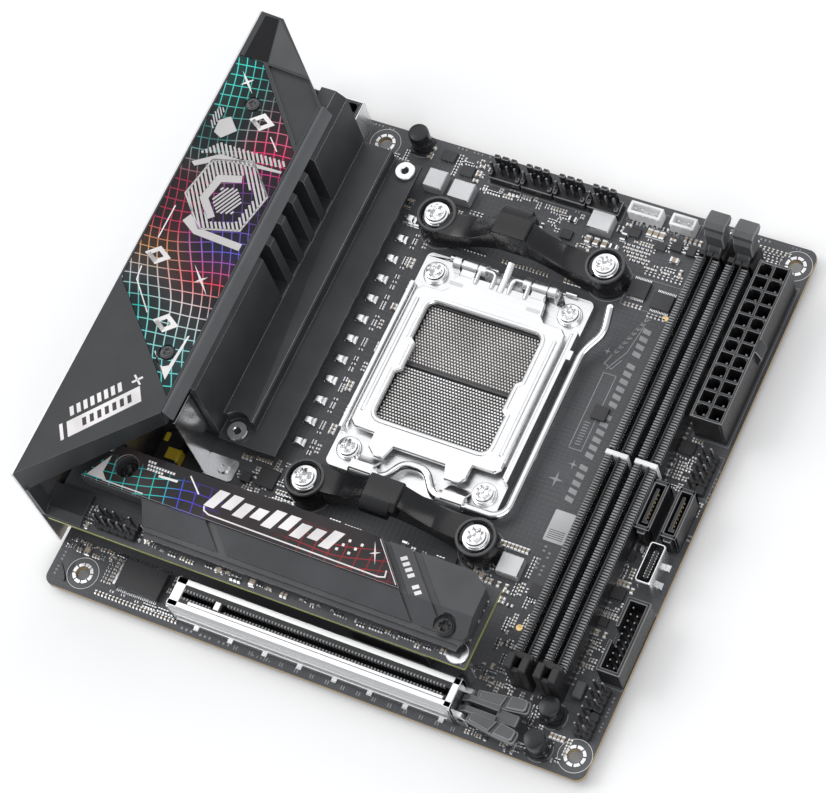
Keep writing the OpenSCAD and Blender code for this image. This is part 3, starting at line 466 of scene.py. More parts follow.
dress("pcb", MASK)
# Where a node's second finish is lighter than its first, it is a painted highlight on the bevelled edges;
# the storage board's laminate edge is its own colour.
for name, material, edge, bevel in (
    ("io_cover", COVER, COVER_EDGE_HIGHLIGHT, 0.3),
    ("cover_trim", TRIM, TRIM, 0.2),
    ("storage_heatsink", SLATE, SLATE_EDGE_HIGHLIGHT, 0.3),
    ("io_shield", SHIELD, TIN_AND_EDGE_HIGHLIGHT, 0.12),
    ("vrm_pads", CHOKE, None, 0),
    ("power_stages", CHIP, GREY_PLASTIC_AND_EDGE_HIGHLIGHT, 0.1),
    ("vrm_chokes", CHOKE, CHOKE, 0.2),
    ("side_bracket", CAST, CAST, 0.12),
    ("filter_chokes", CHOKE, TIN_AND_EDGE_HIGHLIGHT, 0.3),
    ("storage_board", LAMINATE, LIME, 0.12),
    ("storage_standoffs", CAST, CAST, 0.2),
    ("stack_connectors", BLACK, GREY_PLASTIC_AND_EDGE_HIGHLIGHT, 0.15),
    ("chipset", SINK, SINK_EDGE_HIGHLIGHT, 0.2),
    ("cpu_socket", BLACK, GREY_PLASTIC_AND_EDGE_HIGHLIGHT, 0.2),
    ("load_frame", STEEL, CAST, 0.22),
    ("backplate", SATIN, TIN_AND_EDGE_HIGHLIGHT, 0.4),
    ("controllers", CHIP, GREY_PLASTIC_AND_EDGE_HIGHLIGHT, 0.12),
    ("wifi_module", SATIN, TIN_AND_EDGE_HIGHLIGHT, 0.2),
    ("usb_stack_a", SATIN, TIN_AND_EDGE_HIGHLIGHT, 0.15),
    ("usb_stack_b", SATIN, TIN_AND_EDGE_HIGHLIGHT, 0.15),
    ("usb_stack_c", SATIN, TIN_AND_EDGE_HIGHLIGHT, 0.15),
    ("usb_c_ports", SATIN, TIN_AND_EDGE_HIGHLIGHT, 0.15),
    ("video_port", SATIN, TIN_AND_EDGE_HIGHLIGHT, 0.12),
    ("lan_jack", SATIN, TIN_AND_EDGE_HIGHLIGHT, 0.15),
    ("audio_jacks", BLACK, GREY_PLASTIC_AND_EDGE_HIGHLIGHT, 0.15),
    ("button_switches", BLACK, GREY_PLASTIC_AND_EDGE_HIGHLIGHT, 0.15),
    ("flash_button", BLACK, GREY_PLASTIC_AND_EDGE_HIGHLIGHT, 0.15),
    ("clear_button", BLACK, GREY_PLASTIC_AND_EDGE_HIGHLIGHT, 0.15),
    ("cpu_power_shell", STEEL, CAST, 0.15),
):
    dress(name, material, edge, bevel)


# The power heatsink's slots: how far back they reach, their floors, and how far the copy lifts those.
SLOT_BACK, SLOT_FLOOR, SLOT_LIFT = 25, 10.4, 0.6


def power_heatsink():
    """A copy of the power heatsink with its slot floors lifted off the ledge in front of them.

    The floors lie a tenth of a millimetre over the ledge, too close for both edges to be softened."""
    made = bpy.data.objects.new("power_heatsink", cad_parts["vrm_heatsink"].data.copy())
    bpy.context.scene.collection.objects.link(made)
    to_board = BOARD.inverted()
    for point in made.data.vertices:
        place = to_board @ point.co
        if place.x > SLOT_BACK and abs(place.z - SLOT_FLOOR) < 0.02:
            point.co.z += SLOT_LIFT * MM
    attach(made, "board")
    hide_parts("vrm_heatsink")
    dress("vrm_heatsink", SINK, SINK_EDGE_HIGHLIGHT, 0.22, made=made)


power_heatsink()


# ---------------------------------------------------------------- screws, cans and other small hardware

def screw_head(shape, x, y, z, r, high, turn=0.0, sides=48):
    """A domed head with a washer rim and a cross recess, as rings of a height field."""
    def height(px, py, rho):
        dome = high * (1 - 0.3 * (rho / r) ** 2) if rho < r * 0.86 else high * 0.5
        u = abs(px * math.cos(turn) + py * math.sin(turn))
        v = abs(py * math.cos(turn) - px * math.sin(turn))
        reach, half = r * 0.56, r * 0.13
        deep = max(0.0, 1 - max(u, v) / reach) ** 0.4 * high * 0.95
        in_cross = (u < half + 0.1 * r and v < reach) or (v < half + 0.1 * r and u < reach)
        return max(high * 0.12, dome - (deep if in_cross else 0.0))

    rings = [[(px, py, z) for px, py in circle(x, y, r, sides)]]
    for share in (1.0, 0.93, 0.86, 0.8, 0.66, 0.56, 0.47, 0.38, 0.3, 0.23, 0.16, 0.09, 0.03):
        ring = []
        for px, py in circle(x, y, r * share, sides):
            h = high * 0.42 if share == 1.0 else height(px - x, py - y, r * share)
            ring.append((px, py, z + h))
        rings.append(ring)
    shape.loft(rings)


def ring_screws(name, places, r, high, rings, body="board", slot=None, shank=2.0, shank_r=1.6):
    """Bright screws with a flat washer ring under each head."""
    s = Shape()
    for i, (x, y, z) in enumerate(places):
        s.slot = 0
        for ring_r, z0, z1 in rings:
            s.turned(x, y, [(ring_r - 0.15, z0), (ring_r, z0 + 0.15), (ring_r, z1 - 0.15),
                            (ring_r - 0.15, z1)], 40)
        screw_head(s, x, y, z, r, high, 0.35 + i * 1.1)
        s.turned(x, y, [(shank_r, z - shank), (shank_r, z - 0.01)], 20)
    return s.piece(name, body, [CAST], slot or name, (slot or name,))


def frame_and_bracket_screws():
    """Socket screws and cooler bracket screws."""
    spots = [(SOCKET.x + i * 21.5, SOCKET.y - 0.2 + j * 29.9) for i in (-1, 1) for j in (-1, 1)]
    ring_screws("frame_screws_bright", [(x, y, 2.5) for x, y in spots], 3.4, 2.0,
                [(3.75, 1.93, 2.5)], slot="frame_screws", shank=5.6)
    spots = [(SOCKET.x + i * BRACKET_REACH, y) for i in (-1, 1) for y in BRACKET_Y]
    ring_screws("bracket_screws_bright", [(x, y, 8.7) for x, y in spots], 3.7, 1.9,
                [(4.0, 7.7, 8.7)], slot="bracket_screws", shank=11.2)


def black_screws():
    """Black cross-head screws: two in the cover and two sunk in the storage heatsink."""
    s = Shape()
    for i, (x, y, z, r) in enumerate(((9.8, 143.0, 42.2, 1.9), (21.8, 63.0, 40.6, 1.9),
                                      (20.2, 32.2, 22.9, 2.7), (124.4, 20.8, 22.9, 2.7))):
        s.slot = 1 if r > 2 else 0
        screw_head(s, x, y, z, r, 1.3 if r > 2 else 0.9, 0.2 + i)
        s.turned(x, y, [(1.2, z - 3), (1.2, z)], 16)
    s.piece("black_screws", "board", [GREY_PLASTIC_AND_EDGE_HIGHLIGHT, BLACK], "cover_screws", ("cover_screws",))


def heatsink_screws():
    """Two ring-shaped standoff screws, each with painted shade as a near-black disc in its centre."""
    s = Shape()
    for x, y in ((36.2, 59.7), (46.1, 153.6)):
        s.slot = 0
        s.turned(x, y, [(1.5, 3.0), (1.5, 6.02), (2.8, 6.04), (3.05, 6.25), (3.05, 7.0), (2.85, 7.25),
                        (1.3, 7.25), (1.05, 7.0), (1.05, 6.45)], 40)
        s.turned(x, y, [(1.5, -3.2), (2.7, -3.2), (2.7, -1.62), (1.5, -1.6), (1.5, 3.0)], 24)
        # painted shade: a near-black disc in the centre hole
        s.slot = 1
        s.turned(x, y, [(1.04, 6.3), (1.04, 6.5), (0.4, 6.5)], 24)
    s.piece("heatsink_ring_screws", "board", [CAST, PAINTED_HOLE_SHADE], "heatsink_screws", ("heatsink_screws",))


def capacitors():
    """Three aluminium can capacitors and a row of small low ones beside the heatsink."""
    s = Shape()
    for x, y in CAN_SPOTS:
        s.slot = 0
        s.prism(rectangle(x - 3.3, x + 3.3, y - 3.3, y + 3.3, 0.9), 0.02, 0.9, 0.15)
        s.slot = 1
        s.turned(x, y, [(2.9, 0.9), (3.1, 1.1), (3.1, 1.7), (2.86, 2.1), (3.1, 2.5), (3.1, 7.7),
                        (2.95, 8.05), (2.7, 8.2)], 40)
        s.slot = 2
        s.turned(x, y, [(2.55, 8.15), (2.5, 8.19), (0.2, 8.19)], 40)
    for i in range(12):
        y = 63.6 + i * 7
        s.slot = 4
        s.block(50.7, 53.2, y + 0.25, y + 2.6, 0.0, 1.7, 0.3)
        s.slot = 3
        s.block(53.2, 54.3, y + 0.1, y + 2.75, 0.0, 1.2, 0.2)
        s.block(50.4, 50.9, y + 0.3, y + 2.5, 0.0, 0.9, 0.15)
    s.piece("capacitor_cans", "board", [BLACK, CAN, CAN_TOP, TIN_AND_EDGE_HIGHLIGHT, CAST], "capacitors",
            ("capacitors",))


# ---------------------------------------------------------------- processor socket

def plate_outline():
    """Outline of the load plate: a rounded square with a tongue at each end."""
    return [(76.2, 66.8), (79.2, 66.8), (80.6, 70.9), (97.4, 70.9), (98.8, 66.8), (102.6, 66.8),
            (104.6, 68.8), (104.8, 73.2), (111.4, 73.4), (113.0, 75.0), (113.0, 119.6), (111.4, 121.2),
            (105.6, 121.4), (103.9, 123.2), (103.4, 127.2), (102.2, 128.4), (76.4, 128.4),
            (75.2, 127.2), (74.7, 123.2), (73.0, 121.4), (67.0, 121.2), (65.4, 119.6),
            (65.4, 75.0), (67.0, 73.4), (73.6, 73.2), (73.8, 68.8)]


def window_outline():
    """Outline of the plate's window, with a tab pointing in from each side."""
    def corner(cx, cy, a):
        return [(cx + 2.6 * math.cos(math.radians(a + 22.5 * k)),
                 cy + 2.6 * math.sin(math.radians(a + 22.5 * k))) for k in range(5)]
    return (corner(104.4, 80.6, -90) + [(107.0, 90.6), (105.4, 92.0), (105.4, 100.6), (107.0, 102.0)]
            + corner(104.4, 114.8, 0) + corner(73.6, 114.8, 90)
            + [(71.0, 104.6), (72.7, 103.2), (72.7, 94.4), (71.0, 93.0)] + corner(73.6, 80.6, 180))


def radial(outline, centre, angles):
    """Where rays from the centre at the given angles cross an outline."""
    out = []
    n = len(outline)
    for a in angles:
        d = Vector((math.cos(a), math.sin(a)))
        best = None
        for i in range(n):
            p, q = Vector(outline[i]) - centre, Vector(outline[(i + 1) % n]) - centre
            e = q - p
            det = d.x * -e.y + d.y * e.x
            if abs(det) < 1e-9:
                continue
            t = (p.x * -e.y + p.y * e.x) / det
            s = (d.x * p.y - d.y * p.x) / det
            if t > 0 and -1e-6 <= s <= 1 + 1e-6:
                best = t if best is None else max(best, t)
        out.append(tuple(centre + d * best))
    return out


def framed(shape, outer, inner, centre, z0, z1, bevel):
    """A plate with one window. Both rims are bevelled."""
    angles = set()
    for x, y in outer + inner:
        angles.add(round(math.atan2(y - centre.y, x - centre.x), 5))
    angles |= {round(-math.pi + math.tau * k / 72 + 0.003, 5) for k in range(72)}
    angles = sorted(angles)
    angles = [a for i, a in enumerate(angles) if i == 0 or a - angles[i - 1] > 1e-3]
    out, hole = radial(outer, centre, angles), radial(inner, centre, angles)

    def drawn(ring, by, z):
        moved = []
        for x, y in ring:
            v = Vector((x, y)) - centre
            moved.append((*(centre + v * (1 + by / v.length)), z))
        return moved
    shape.loft([drawn(out, 0, z0), drawn(out, 0, z1 - bevel), drawn(out, -bevel, z1),
                drawn(hole, bevel, z1), drawn(hole, 0, z1 - bevel), drawn(hole, 0, z0),
                drawn(out, 0, z0)], ends=False)


# The load plate's hinge line, as board y and z.
HINGE_Y, HINGE_Z = 131.4, 4.7


def load_plate():
    """Pressed steel plate with curled hinge arms, folded sides and a stamped rim round its window."""
    s = Shape()
    framed(s, plate_outline(), window_outline(), SOCKET, 4.1, 5.3, 0.3)
    # stamped rim round the window
    outer = inset(window_outline(), -1.5)
    framed(s, outer, inset(window_outline(), -0.35), SOCKET, 5.25, 5.5, 0.2)
    # folded sides
    for x0, x1 in ((65.2, 66.3), (112.1, 113.2)):
        s.block(x0, x1, 77, 118.5, 2.3, 5.2, 0.25)
        inwards = 1.5 if x0 < SOCKET.x else -1.5
        s.block(x0 + inwards, x1 + inwards, 78.5, 117, 5.2, 5.62, 0.2)
    # curled arms round the hinge pins, and the pins
    for x in (75.6, 98.0):
        s.tube([(x, HINGE_Y, HINGE_Z), (x + 4.6, HINGE_Y, HINGE_Z)], 1.95, 24)
        s.block(x, x + 4.6, 127.4, 131.0, 4.1, 5.4, 0.25)
        s.tube([(x - 2.6, HINGE_Y, HINGE_Z), (x + 7.0, HINGE_Y, HINGE_Z)], 1.1, 20)
        # pressed loop beside each arm
        side = 1 if x < SOCKET.x else -1
        x0 = x + (5.6 if side > 0 else -1.0)
        s.tube(smooth_path([(x0, 126.6, 5.2), (x0, 131.2, 6.0), (x0 + side * 5.2, 131.2, 6.0),
                            (x0 + side * 5.2, 126.6, 5.2)], 1.6, 5), 0.7, 10)
    # lifting finger between the arms
    s.tube(smooth_path([(89.2, 126.2, 5.1), (89.2, 130.8, 5.3), (89.2, 135.6, 6.4)], 1.5), 1.25, 14,
           flat=0.5)
    s.slot = 1
    for x, y in ((76, 124.6), (101, 123.9)):
        s.prism(rectangle(x - 2.2, x + 2.2, y - 0.6, y + 0.6, 0.3), 5.28, 5.34, 0)
    s.piece("load_plate_pressed", "body_load_plate", [STEEL, SATIN], "load_plate", ("load_plate",), 40)


def lever():
    """Bent wire lever: two straight pins, a crank between them, a long arm and a turned-out handle."""
    s = Shape()
    y, z = 61.6, 3.6
    s.tube(smooth_path([(70.8, y, z), (81.6, y, z), (86, 67.8, 4.4), (92.8, 67.8, 4.4), (97.2, y, z),
                        (116.8, y, z), (119.6, y + 2.8, z), (119.6, 116.6, 4.2), (123.8, 123.4, 6),
                        (122.6, 130.8, 7.4)], 2.6, 6), 1.28, 16)
    s.turned(122.55, 131.0, [(0.9, -0.5), (1.2, 0.0), (0.9, 0.6)], 14, 7.4)
    s.piece("bent_wire_lever", "body_socket_lever", [CAST], "socket_lever", ("socket_lever",), 50)


def socket_covers():
    """Curled ends of the frame over the lever's pins, with raised lines along both rails."""
    s = Shape()
    for x0, x1 in ((71.4, 78.4), (100.4, 107.2)):
        s.prism([(58.9, 2.2), (59.6, 4.9), (61.0, 6.1), (63.6, 6.1), (66.2, 3.2), (67.0, 2.0),
                 (66.2, 2.0), (63.4, 5.1), (61.4, 5.1), (60.3, 4.2), (59.9, 2.2)], x0, x1, 0.0, "x")
    for x0, x1 in ((63.7, 64.5), (113.6, 114.6)):
        s.block(x0, x1, 73, 121.5, 1.9, 3.6, 0.25)
    for x in (70, 82, 94, 107):
        s.tube([(x, 133.4, 2.6), (x + 3.4, 133.4, 2.6)], 0.8, 12)
    s.piece("frame_curls", "board", [CAST], "load_frame", (), 40)


def contacts():
    """The contact field: rows of slanted spring blades in two halves that lean opposite ways; the second
    half has painted shade.
    """
    s = Shape()
    for y0 in (78.2, 97.9):
        s.block(70.6, 107.8, y0, y0 + 18.7, 1.62, 2.0, 0.1)
    pitch, first_x, last_x = 0.94, 71.2, 107.2
    # the second half takes the darker copy of the blade finish: painted shade
    for slot, y0, lean in ((1, 78.7, -0.34), (2, 98.4, 0.34)):
        s.slot = slot
        for j in range(20):
            for i in range(38):
                x = first_x + i * pitch + (j % 2) * pitch / 2
                y = y0 + j * pitch * 0.985
                if x > last_x:
                    continue
                s.loft([[(x - 0.27, y - 0.13, 1.95), (x + 0.27, y - 0.13, 1.95),
                         (x + 0.27, y + 0.13, 1.95), (x - 0.27, y + 0.13, 1.95)],
                        [(x - 0.25, y - 0.2 + lean, 3.0), (x + 0.25, y - 0.2 + lean, 3.0),
                         (x + 0.25, y + 0.24 + lean, 3.0), (x - 0.25, y + 0.24 + lean, 3.0)]])
    s.slot = 0
    s.block(70.8, 107.6, 97.1, 97.7, 1.9, 2.9, 0.1)
    s.piece("contact_blades", "board", [GREY_PLASTIC_AND_EDGE_HIGHLIGHT, BLADE, BLADE_PAINTED_SHADE], "socket_contacts",
            ("socket_contacts",), 30)


# A cooler bracket's arm: where it starts beside the hook and how far it runs to the cup.
ARM_START, ARM_LENGTH = 4.9, 19.8
HOOK_HALF = 5.2


def bar_top(u):
    """Height of a bracket's bar at a distance from its middle."""
    return 9 + 9.2 * max(0.0, 1 - (u - HOOK_HALF) / 15.8) ** 2


def bracket(name, y, side):
    """Cooler bracket: two cups, an arched bar between them and a raised hook in the middle."""
    s = Shape()
    s.highlight_edge_slot = 1
    for i in (-1, 1):
        x = SOCKET.x + i * BRACKET_REACH
        s.turned(x, y, [(6.1, 0.0), (6.2, 0.3), (6.0, 8.9), (5.75, 9.35), (5.1, 9.35), (4.7, 8.9),
                        (4.5, 7.7), (2.3, 7.65)], 56, edges=(2, 3))
        # the bar's arm from the cup to the hook, as upright cross-sections
        rings = []
        for k in range(21):
            u = ARM_START + k * ARM_LENGTH / 20
            share = (u - ARM_START) / ARM_LENGTH
            x = SOCKET.x + i * u
            front = y - side * (4.5 + 1.2 * share)
            back = y + side * (2.3 + 0.5 * share)
            top = bar_top(max(HOOK_HALF, u))
            under = 0.8 + 7.6 * math.cos(math.pi / 2 * min(1.0, u / 21)) ** 0.8
            rings.append([(x, front, under), (x, back, under), (x, back, top - 0.9),
                          (x, back - side * 0.5, top - 0.35), (x, front + side * 0.7, top),
                          (x, front + side * 0.15, top - 0.25), (x, front, top - 0.8)])
        s.loft(rings)
    # the hook: a block with a rounded crown whose outer lip slopes down, with a notch at one end
    profile = [(-4.8, 8.6), (-4.8, 18.5), (-4.6, 18.95), (-4.1, 19.15), (-1.0, 19.2), (1.9, 19.0),
               (2.3, 18.8), (5.6, 17.6), (5.9, 17.2), (5.9, 14.8), (5.6, 14.6), (2.4, 14.2), (2.4, 8.6)]
    rings = []
    for x, shrink in ((-5.4, 0.35), (-5.05, 0.0), (3.6, 0.0), (3.7, 0.0), (5.05, 0.0), (5.4, 0.35)):
        notch = 1.6 if x > 3.65 else 0.0
        rings.append([(SOCKET.x + x, y + side * (min(v, 5.9 - notch) * (1 - shrink / 6)),
                       max(8.6, z - shrink * (1 if z > 9 else 0))) for v, z in profile])
    s.loft(rings)
    s.piece(name + "_moulded", "board", [BRACKET, GREY_PLASTIC_AND_EDGE_HIGHLIGHT], name, (name,), 42)


frame_and_bracket_screws()
black_screws()
heatsink_screws()
capacitors()
load_plate()
lever()
socket_covers()
contacts()
bracket("bracket_top", BRACKET_Y[1], 1)
bracket("bracket_bottom", BRACKET_Y[0], -1)


# ---------------------------------------------------------------- memory and expansion slots

DIMM_X = (143.8, 152.6)
DIMM_Y = (22.0, 155.4)
KEY_Y = 88.0
TOOTH = 0.85


def memory_slots():
    """Two slots. Each has a ladder of contact windows on both sides of a deep groove."""
    s = Shape()
    y0, y1 = DIMM_Y
    for x in DIMM_X:
        s.slot = 0
        s.block(x - 3.2, x + 3.2, y0, y1, 0, 3.0, 0.2)
        for side in (-1, 1):
            # inner wall, outer wall and the floor between them
            def span(a, b):
                return (x + side * a, x + side * b) if side > 0 else (x - b, x - a)
            s.slot = 0
            s.block(*span(0.85, 1.35), y0, y1, 3.0, 11.2, 0.1)
            s.block(*span(2.7, 3.2), y0, y1, 3.0, 9.9, 0.1)
            s.block(*span(1.35, 2.7), y0, y1, 3.0, 8.9, 0)
            s.slot = 1
            count = int((y1 - y0 - 4) / TOOTH)
            teeth = [y0 + 2.4 + i * TOOTH for i in range(count)]
            teeth = [y for y in teeth if abs(y - KEY_Y) > 1.2]
            for y in teeth:
                s.block(*span(1.3, 3.3), y, y + 0.42, 8.6, 10.35, 0.07)
            s.slot = 2
            for y in teeth:
                s.block(*span(0.7, 0.86), y + 0.1, y + 0.5, 6.0, 10.2, 0)
            # solder tails on the board beside the slot
            for i in range(count // 2):
                y = y0 + 2.6 + i * TOOTH * 2
                s.block(*span(3.35, 4.1), y, y + 0.5, 0.0, 0.16, 0)
        # notch bar that only the right kind of module passes
        s.slot = 3
        s.block(x - 3.35, x + 3.35, KEY_Y - 0.75, KEY_Y + 0.75, 3.0, 11.3, 0.2)
        # end tower with a guide groove
        s.slot = 0
        for a, b in ((x - 3.3, x - 1.0), (x + 1.0, x + 3.3)):
            s.block(a, b, y0 - 3.2, y0 + 1.4, 0, 14.6, 0.3)
        s.block(x - 1.1, x + 1.1, y0 - 3.2, y0 - 1.9, 0, 12.8, 0.2)
        s.block(x - 3.0, x + 3.0, y0 + 1.2, y0 + 3.2, 3.0, 11.6, 0.2)
        # cheeks of the ejector
        for a in (x - 3.3, x + 2.1):
            s.block(a, a + 1.2, y1, 163, 0, 7.2, 0.25)
        s.block(x - 3.3, x + 3.3, y1, 163, 0, 0.8, 0.1)
        s.block(x - 3.2, x + 3.2, y1 - 1.6, y1, 3.0, 11.2, 0.2)
        s.slot = 2
        for i in range(32):
            for j in (-1.6, 1.6):
                ty = y0 + 3 + i * 4.05
                s.block(x + j - 0.25, x + j + 0.25, ty - 0.25, ty + 0.25, -4.0, -1.6, 0)
    s.piece("memory_slots_detailed", "board", [BLACK, SLOT_GREY_AND_RIM_HIGHLIGHT, TIN_AND_EDGE_HIGHLIGHT, WHITE], "dimm_slots",
            ("dimm_slots",))


def memory_latch(name, x):
    """Ejector with a ribbed head, a neck and a foot that lifts the module."""
    s = Shape()
    s.highlight_edge_slot = 1
    s.tube([(x - 3.2, 158.6, 3.6), (x + 3.2, 158.6, 3.6)], 0.9, 20)
    s.prism([(156.2, 2.2), (161.4, 1.9), (162.2, 9.4), (158.0, 9.4), (156.6, 8.0)], x - 1.9, x + 1.9,
            0.25, "x")
    s.prism([(158.0, 9.0), (162.3, 9.0), (163.3, 15.2), (163.3, 16.4), (159.5, 16.4), (158.0, 14.4)],
            x - 2.9, x + 2.9, 0.35, "x")
    s.prism([(159.0, 15.4), (163.6, 15.0), (164.9, 16.0), (164.9, 17.2), (160.4, 18.2), (159.0, 17.4)],
            x - 3.2, x + 3.2, 0.35, "x")
    for k in range(5):
        y = 160.6 + k * 0.85
        z = 18.0 - k * 0.21
        s.prism([(y, z - 1.0), (y + 0.42, z - 1.0), (y + 0.42, z + 0.12), (y, z + 0.2)],
                x - 3.0, x + 3.0, 0.08, "x")
    node = "dimm_latch_" + name
    s.piece("ejector_" + name, "body_" + node, [LATCH, SLOT_GREY_AND_RIM_HIGHLIGHT], node, (node,))


PCIE_X = (42.8, 131.2)


def expansion_slot():
    """Steel-clad expansion slot: a black core with contact teeth, inside a bright folded shell."""
    x0, x1 = PCIE_X
    wall = 0.8
    s = Shape()
    s.blocks((x0 + wall, x1 - wall, 4.0, 6.7, 0, 11.0, 0.15),
             (x0 + wall, x1 - wall, 8.7, 11.4, 0, 11.0, 0.15),
             (x0 + wall, x1 - wall, 6.6, 8.8, 0, 2.6, 0),
             (x0 + 13.2, x0 + 15.6, 6.6, 8.8, 2.0, 11.0, 0.1),
             (x0 + wall, x0 + 1.9, 6.6, 8.8, 2.0, 11.0, 0.1),
             (x1 - 1.9, x1 - wall, 6.6, 8.8, 2.0, 11.0, 0.1))
    s.slot = 1
    for i in range(82):
        x = x0 + 3.0 + i
        if abs(x - x0 - 14.4) < 1.6 or x > x1 - 2.6:
            continue
        for y in (6.15, 8.55):
            s.block(x, x + 0.5, y, y + 0.7, 9.6, 11.12, 0)
    s.slot = 2
    for i in range(41):
        for j in (0, 1):
            x, y = x0 + 4 + i * 2, 5.2 + j * 4.8
            s.block(x, x + 0.6, y, y + 0.6, -4.0, -1.6, 0)
    s.piece("expansion_slot_core", "board", [BLACK, SLOT_GREY_AND_RIM_HIGHLIGHT, TIN_AND_EDGE_HIGHLIGHT], "pcie_slot", ("pcie_slot",))

    s = Shape()
    # long walls: the outer one has a rolled top, two drawn lines and a foot flange
    s.prism([(2.8, 0.3), (3.6, 0.3), (3.6, 9.9), (5.0, 10.9), (5.0, 11.5), (3.6, 11.5), (2.8, 10.6)],
            x0, x1, 0.0, "x")
    s.prism([(5.2, 11.05), (6.0, 11.05), (6.0, 11.5), (5.2, 11.5)], x0 + 6, x1 - 3, 0.0, "x")
    s.prism([(12.6, 0.3), (12.6, 10.6), (12.0, 11.5), (10.4, 11.5), (10.4, 10.95), (11.6, 10.5),
             (11.8, 0.3)], x0, x1, 0.0, "x")
    for z in (3.4, 7.2):
        s.tube([(x0 + 2, 2.78, z), (x1 - 2, 2.78, z)], 0.22, 8)
    # end plates
    s.blocks((x0, x0 + wall, 2.8, 12.6, 0.3, 11.0, 0.15),
             (x0, x0 + 3.2, 3.2, 12.2, 10.9, 11.5, 0.2),
             (x1 - wall, x1, 2.8, 12.6, 0.3, 11.0, 0.15),
             (x1 - 2.2, x1, 3.2, 12.2, 10.9, 11.5, 0.2),
             (x0 + 13.4, x0 + 15.2, 6.4, 9.0, 11.0, 11.4, 0.15))
    # solder tabs along the outer foot
    for k in range(8):
        x = x0 + 6 + k * 11
        s.block(x, x + 1.6, 1.9, 3.0, 0.02, 0.5, 0.1)
    # ears that carry the latch pin
    for y in (3.2, 10.4):
        s.prism([(x1 - 0.2, 0.3), (x1 + 3.6, 0.3), (x1 + 3.6, 6.0), (x1 + 2.4, 7.2), (x1 - 0.2, 7.2)],
                y, y + 1.6, 0.15, "y")
    s.piece("expansion_slot_shell", "board", [STEEL], "pcie_shell", ("pcie_shell",), 28)


def expansion_latch():
    """Release latch: two splayed paddles with stepped grips on a pin between the shell's ears."""
    x1 = PCIE_X[1]
    s = Shape()
    s.highlight_edge_slot = 1
    s.tube([(x1 + 2, 3.2, 4.8), (x1 + 2, 12.0, 4.8)], 0.9, 20)
    arm = [(x1 + 0.4, 3.6), (x1 + 4, 3.4), (x1 + 12, 5.9), (x1 + 12, 8.4), (x1 + 3, 8.4), (x1 + 0.4, 6.2)]
    for y in (5.1, 8.3):
        s.prism(arm, y, y + 1.8, 0.2, "y")
    for way in (-1, 1):
        y0 = 7.6 + way * 3.0
        s.place = Matrix.Translation((x1 + 4.2, y0, 0)) @ Matrix.Rotation(math.radians(way * 6), 4, "Z")
        s.prism([(0, -1.7), (9.2, -2.1), (14.6, -1.9), (15.2, -1.2), (15.2, 1.2), (14.6, 1.9),
                 (9.2, 2.1), (0, 1.7)], 5.4, 7.6, 0.3)
        s.prism([(1.0, -1.3), (7.4, -1.7), (8.4, 1.7), (1.0, 1.3)], 7.5, 8.5, 0.25)
        s.prism([(9.0, -1.9), (14.0, -1.7), (14.6, -1.0), (14.6, 1.0), (14.0, 1.7), (9.8, 1.9)],
                7.5, 9.1, 0.35)
    s.place = Matrix.Identity(4)
    s.block(x1 + 11.4, x1 + 17.6, 5.9, 9.3, 5.6, 7.4, 0.3)
    s.piece("expansion_latch", "body_pcie_latch", [LATCH, SLOT_GREY_AND_RIM_HIGHLIGHT], "pcie_latch", ("pcie_latch",))


# ---------------------------------------------------------------- power sockets and headers

def power_socket(name, node, x, y, nx, ny, top, walls, latch=None):
    """A socket of square and cut-cornered cells, 4.2 mm apart, each with a pin."""
    x0, x1, y0, y1 = walls
    pitch = 4.2
    s = Shape()
    s.slot, s.highlight_edge_slot = 0, 1
    s.block(x0, x1, y0, y1, 0, 2.4, 0.2)
    rim, web = 0.75, 0.36
    s.blocks((x0, x0 + rim, y0, y1, 2.2, top, 0.18),
             (x1 - rim, x1, y0, y1, 2.2, top, 0.18),
             (x0 + rim, x1 - rim, y0, y0 + rim, 2.2, top, 0.18),
             (x0 + rim, x1 - rim, y1 - rim, y1, 2.2, top, 0.18))
    for i in range(1, nx):
        at = x + (i - 0.5) * pitch
        s.block(at - web, at + web, y0 + rim, y1 - rim, 2.2, top - 0.05, 0.12)
    for j in range(1, ny):
        at = y + (j - 0.5) * pitch
        s.block(x0 + rim, x1 - rim, at - web, at + web, 2.2, top - 0.07, 0.12)
    for i in range(nx):
        for j in range(ny):
            cx, cy = x + i * pitch, y + j * pitch
            s.slot, s.highlight_edge_slot = 0, 1
            if (i + j + (j // 3)) % 2 == 0:
                # corner fillers turn the square cell into a cut-cornered one
                for a, b in ((-1, 1), (1, 1), (-1, -1), (1, -1)):
                    if b * (1 if ny > nx else -1) > 0 or (i * 3 + j) % 5 == 0:
                        px, py = cx + a * 1.75, cy + b * 1.75
                        s.prism([(px, py), (px - a * 0.95, py), (px, py - b * 0.95)],
                                2.2, top - 0.1, 0)
            s.slot, s.highlight_edge_slot = 2, None
            s.prism(rectangle(cx - 0.5, cx + 0.5, cy - 0.5, cy + 0.5, 0.12), 2.3, 9.6, 0.25)
            s.block(cx - 0.5, cx + 0.5, cy - 0.5, cy + 0.5, -4.0, -1.6, 0)
    s.slot, s.highlight_edge_slot = 0, 1
    if latch:
        s.prism([(x1 - 0.1, 4.4), (x1 + 1.7, 8.6), (x1 + 1.7, 9.6), (x1 + 0.5, top), (x1 - 0.1, top)],
                latch[0], latch[1], 0.2, "y")
    s.piece(name, "board", [BLACK, SLOT_GREY_AND_RIM_HIGHLIGHT, PIN], node, (node,))


PIN_PITCH = 2.54


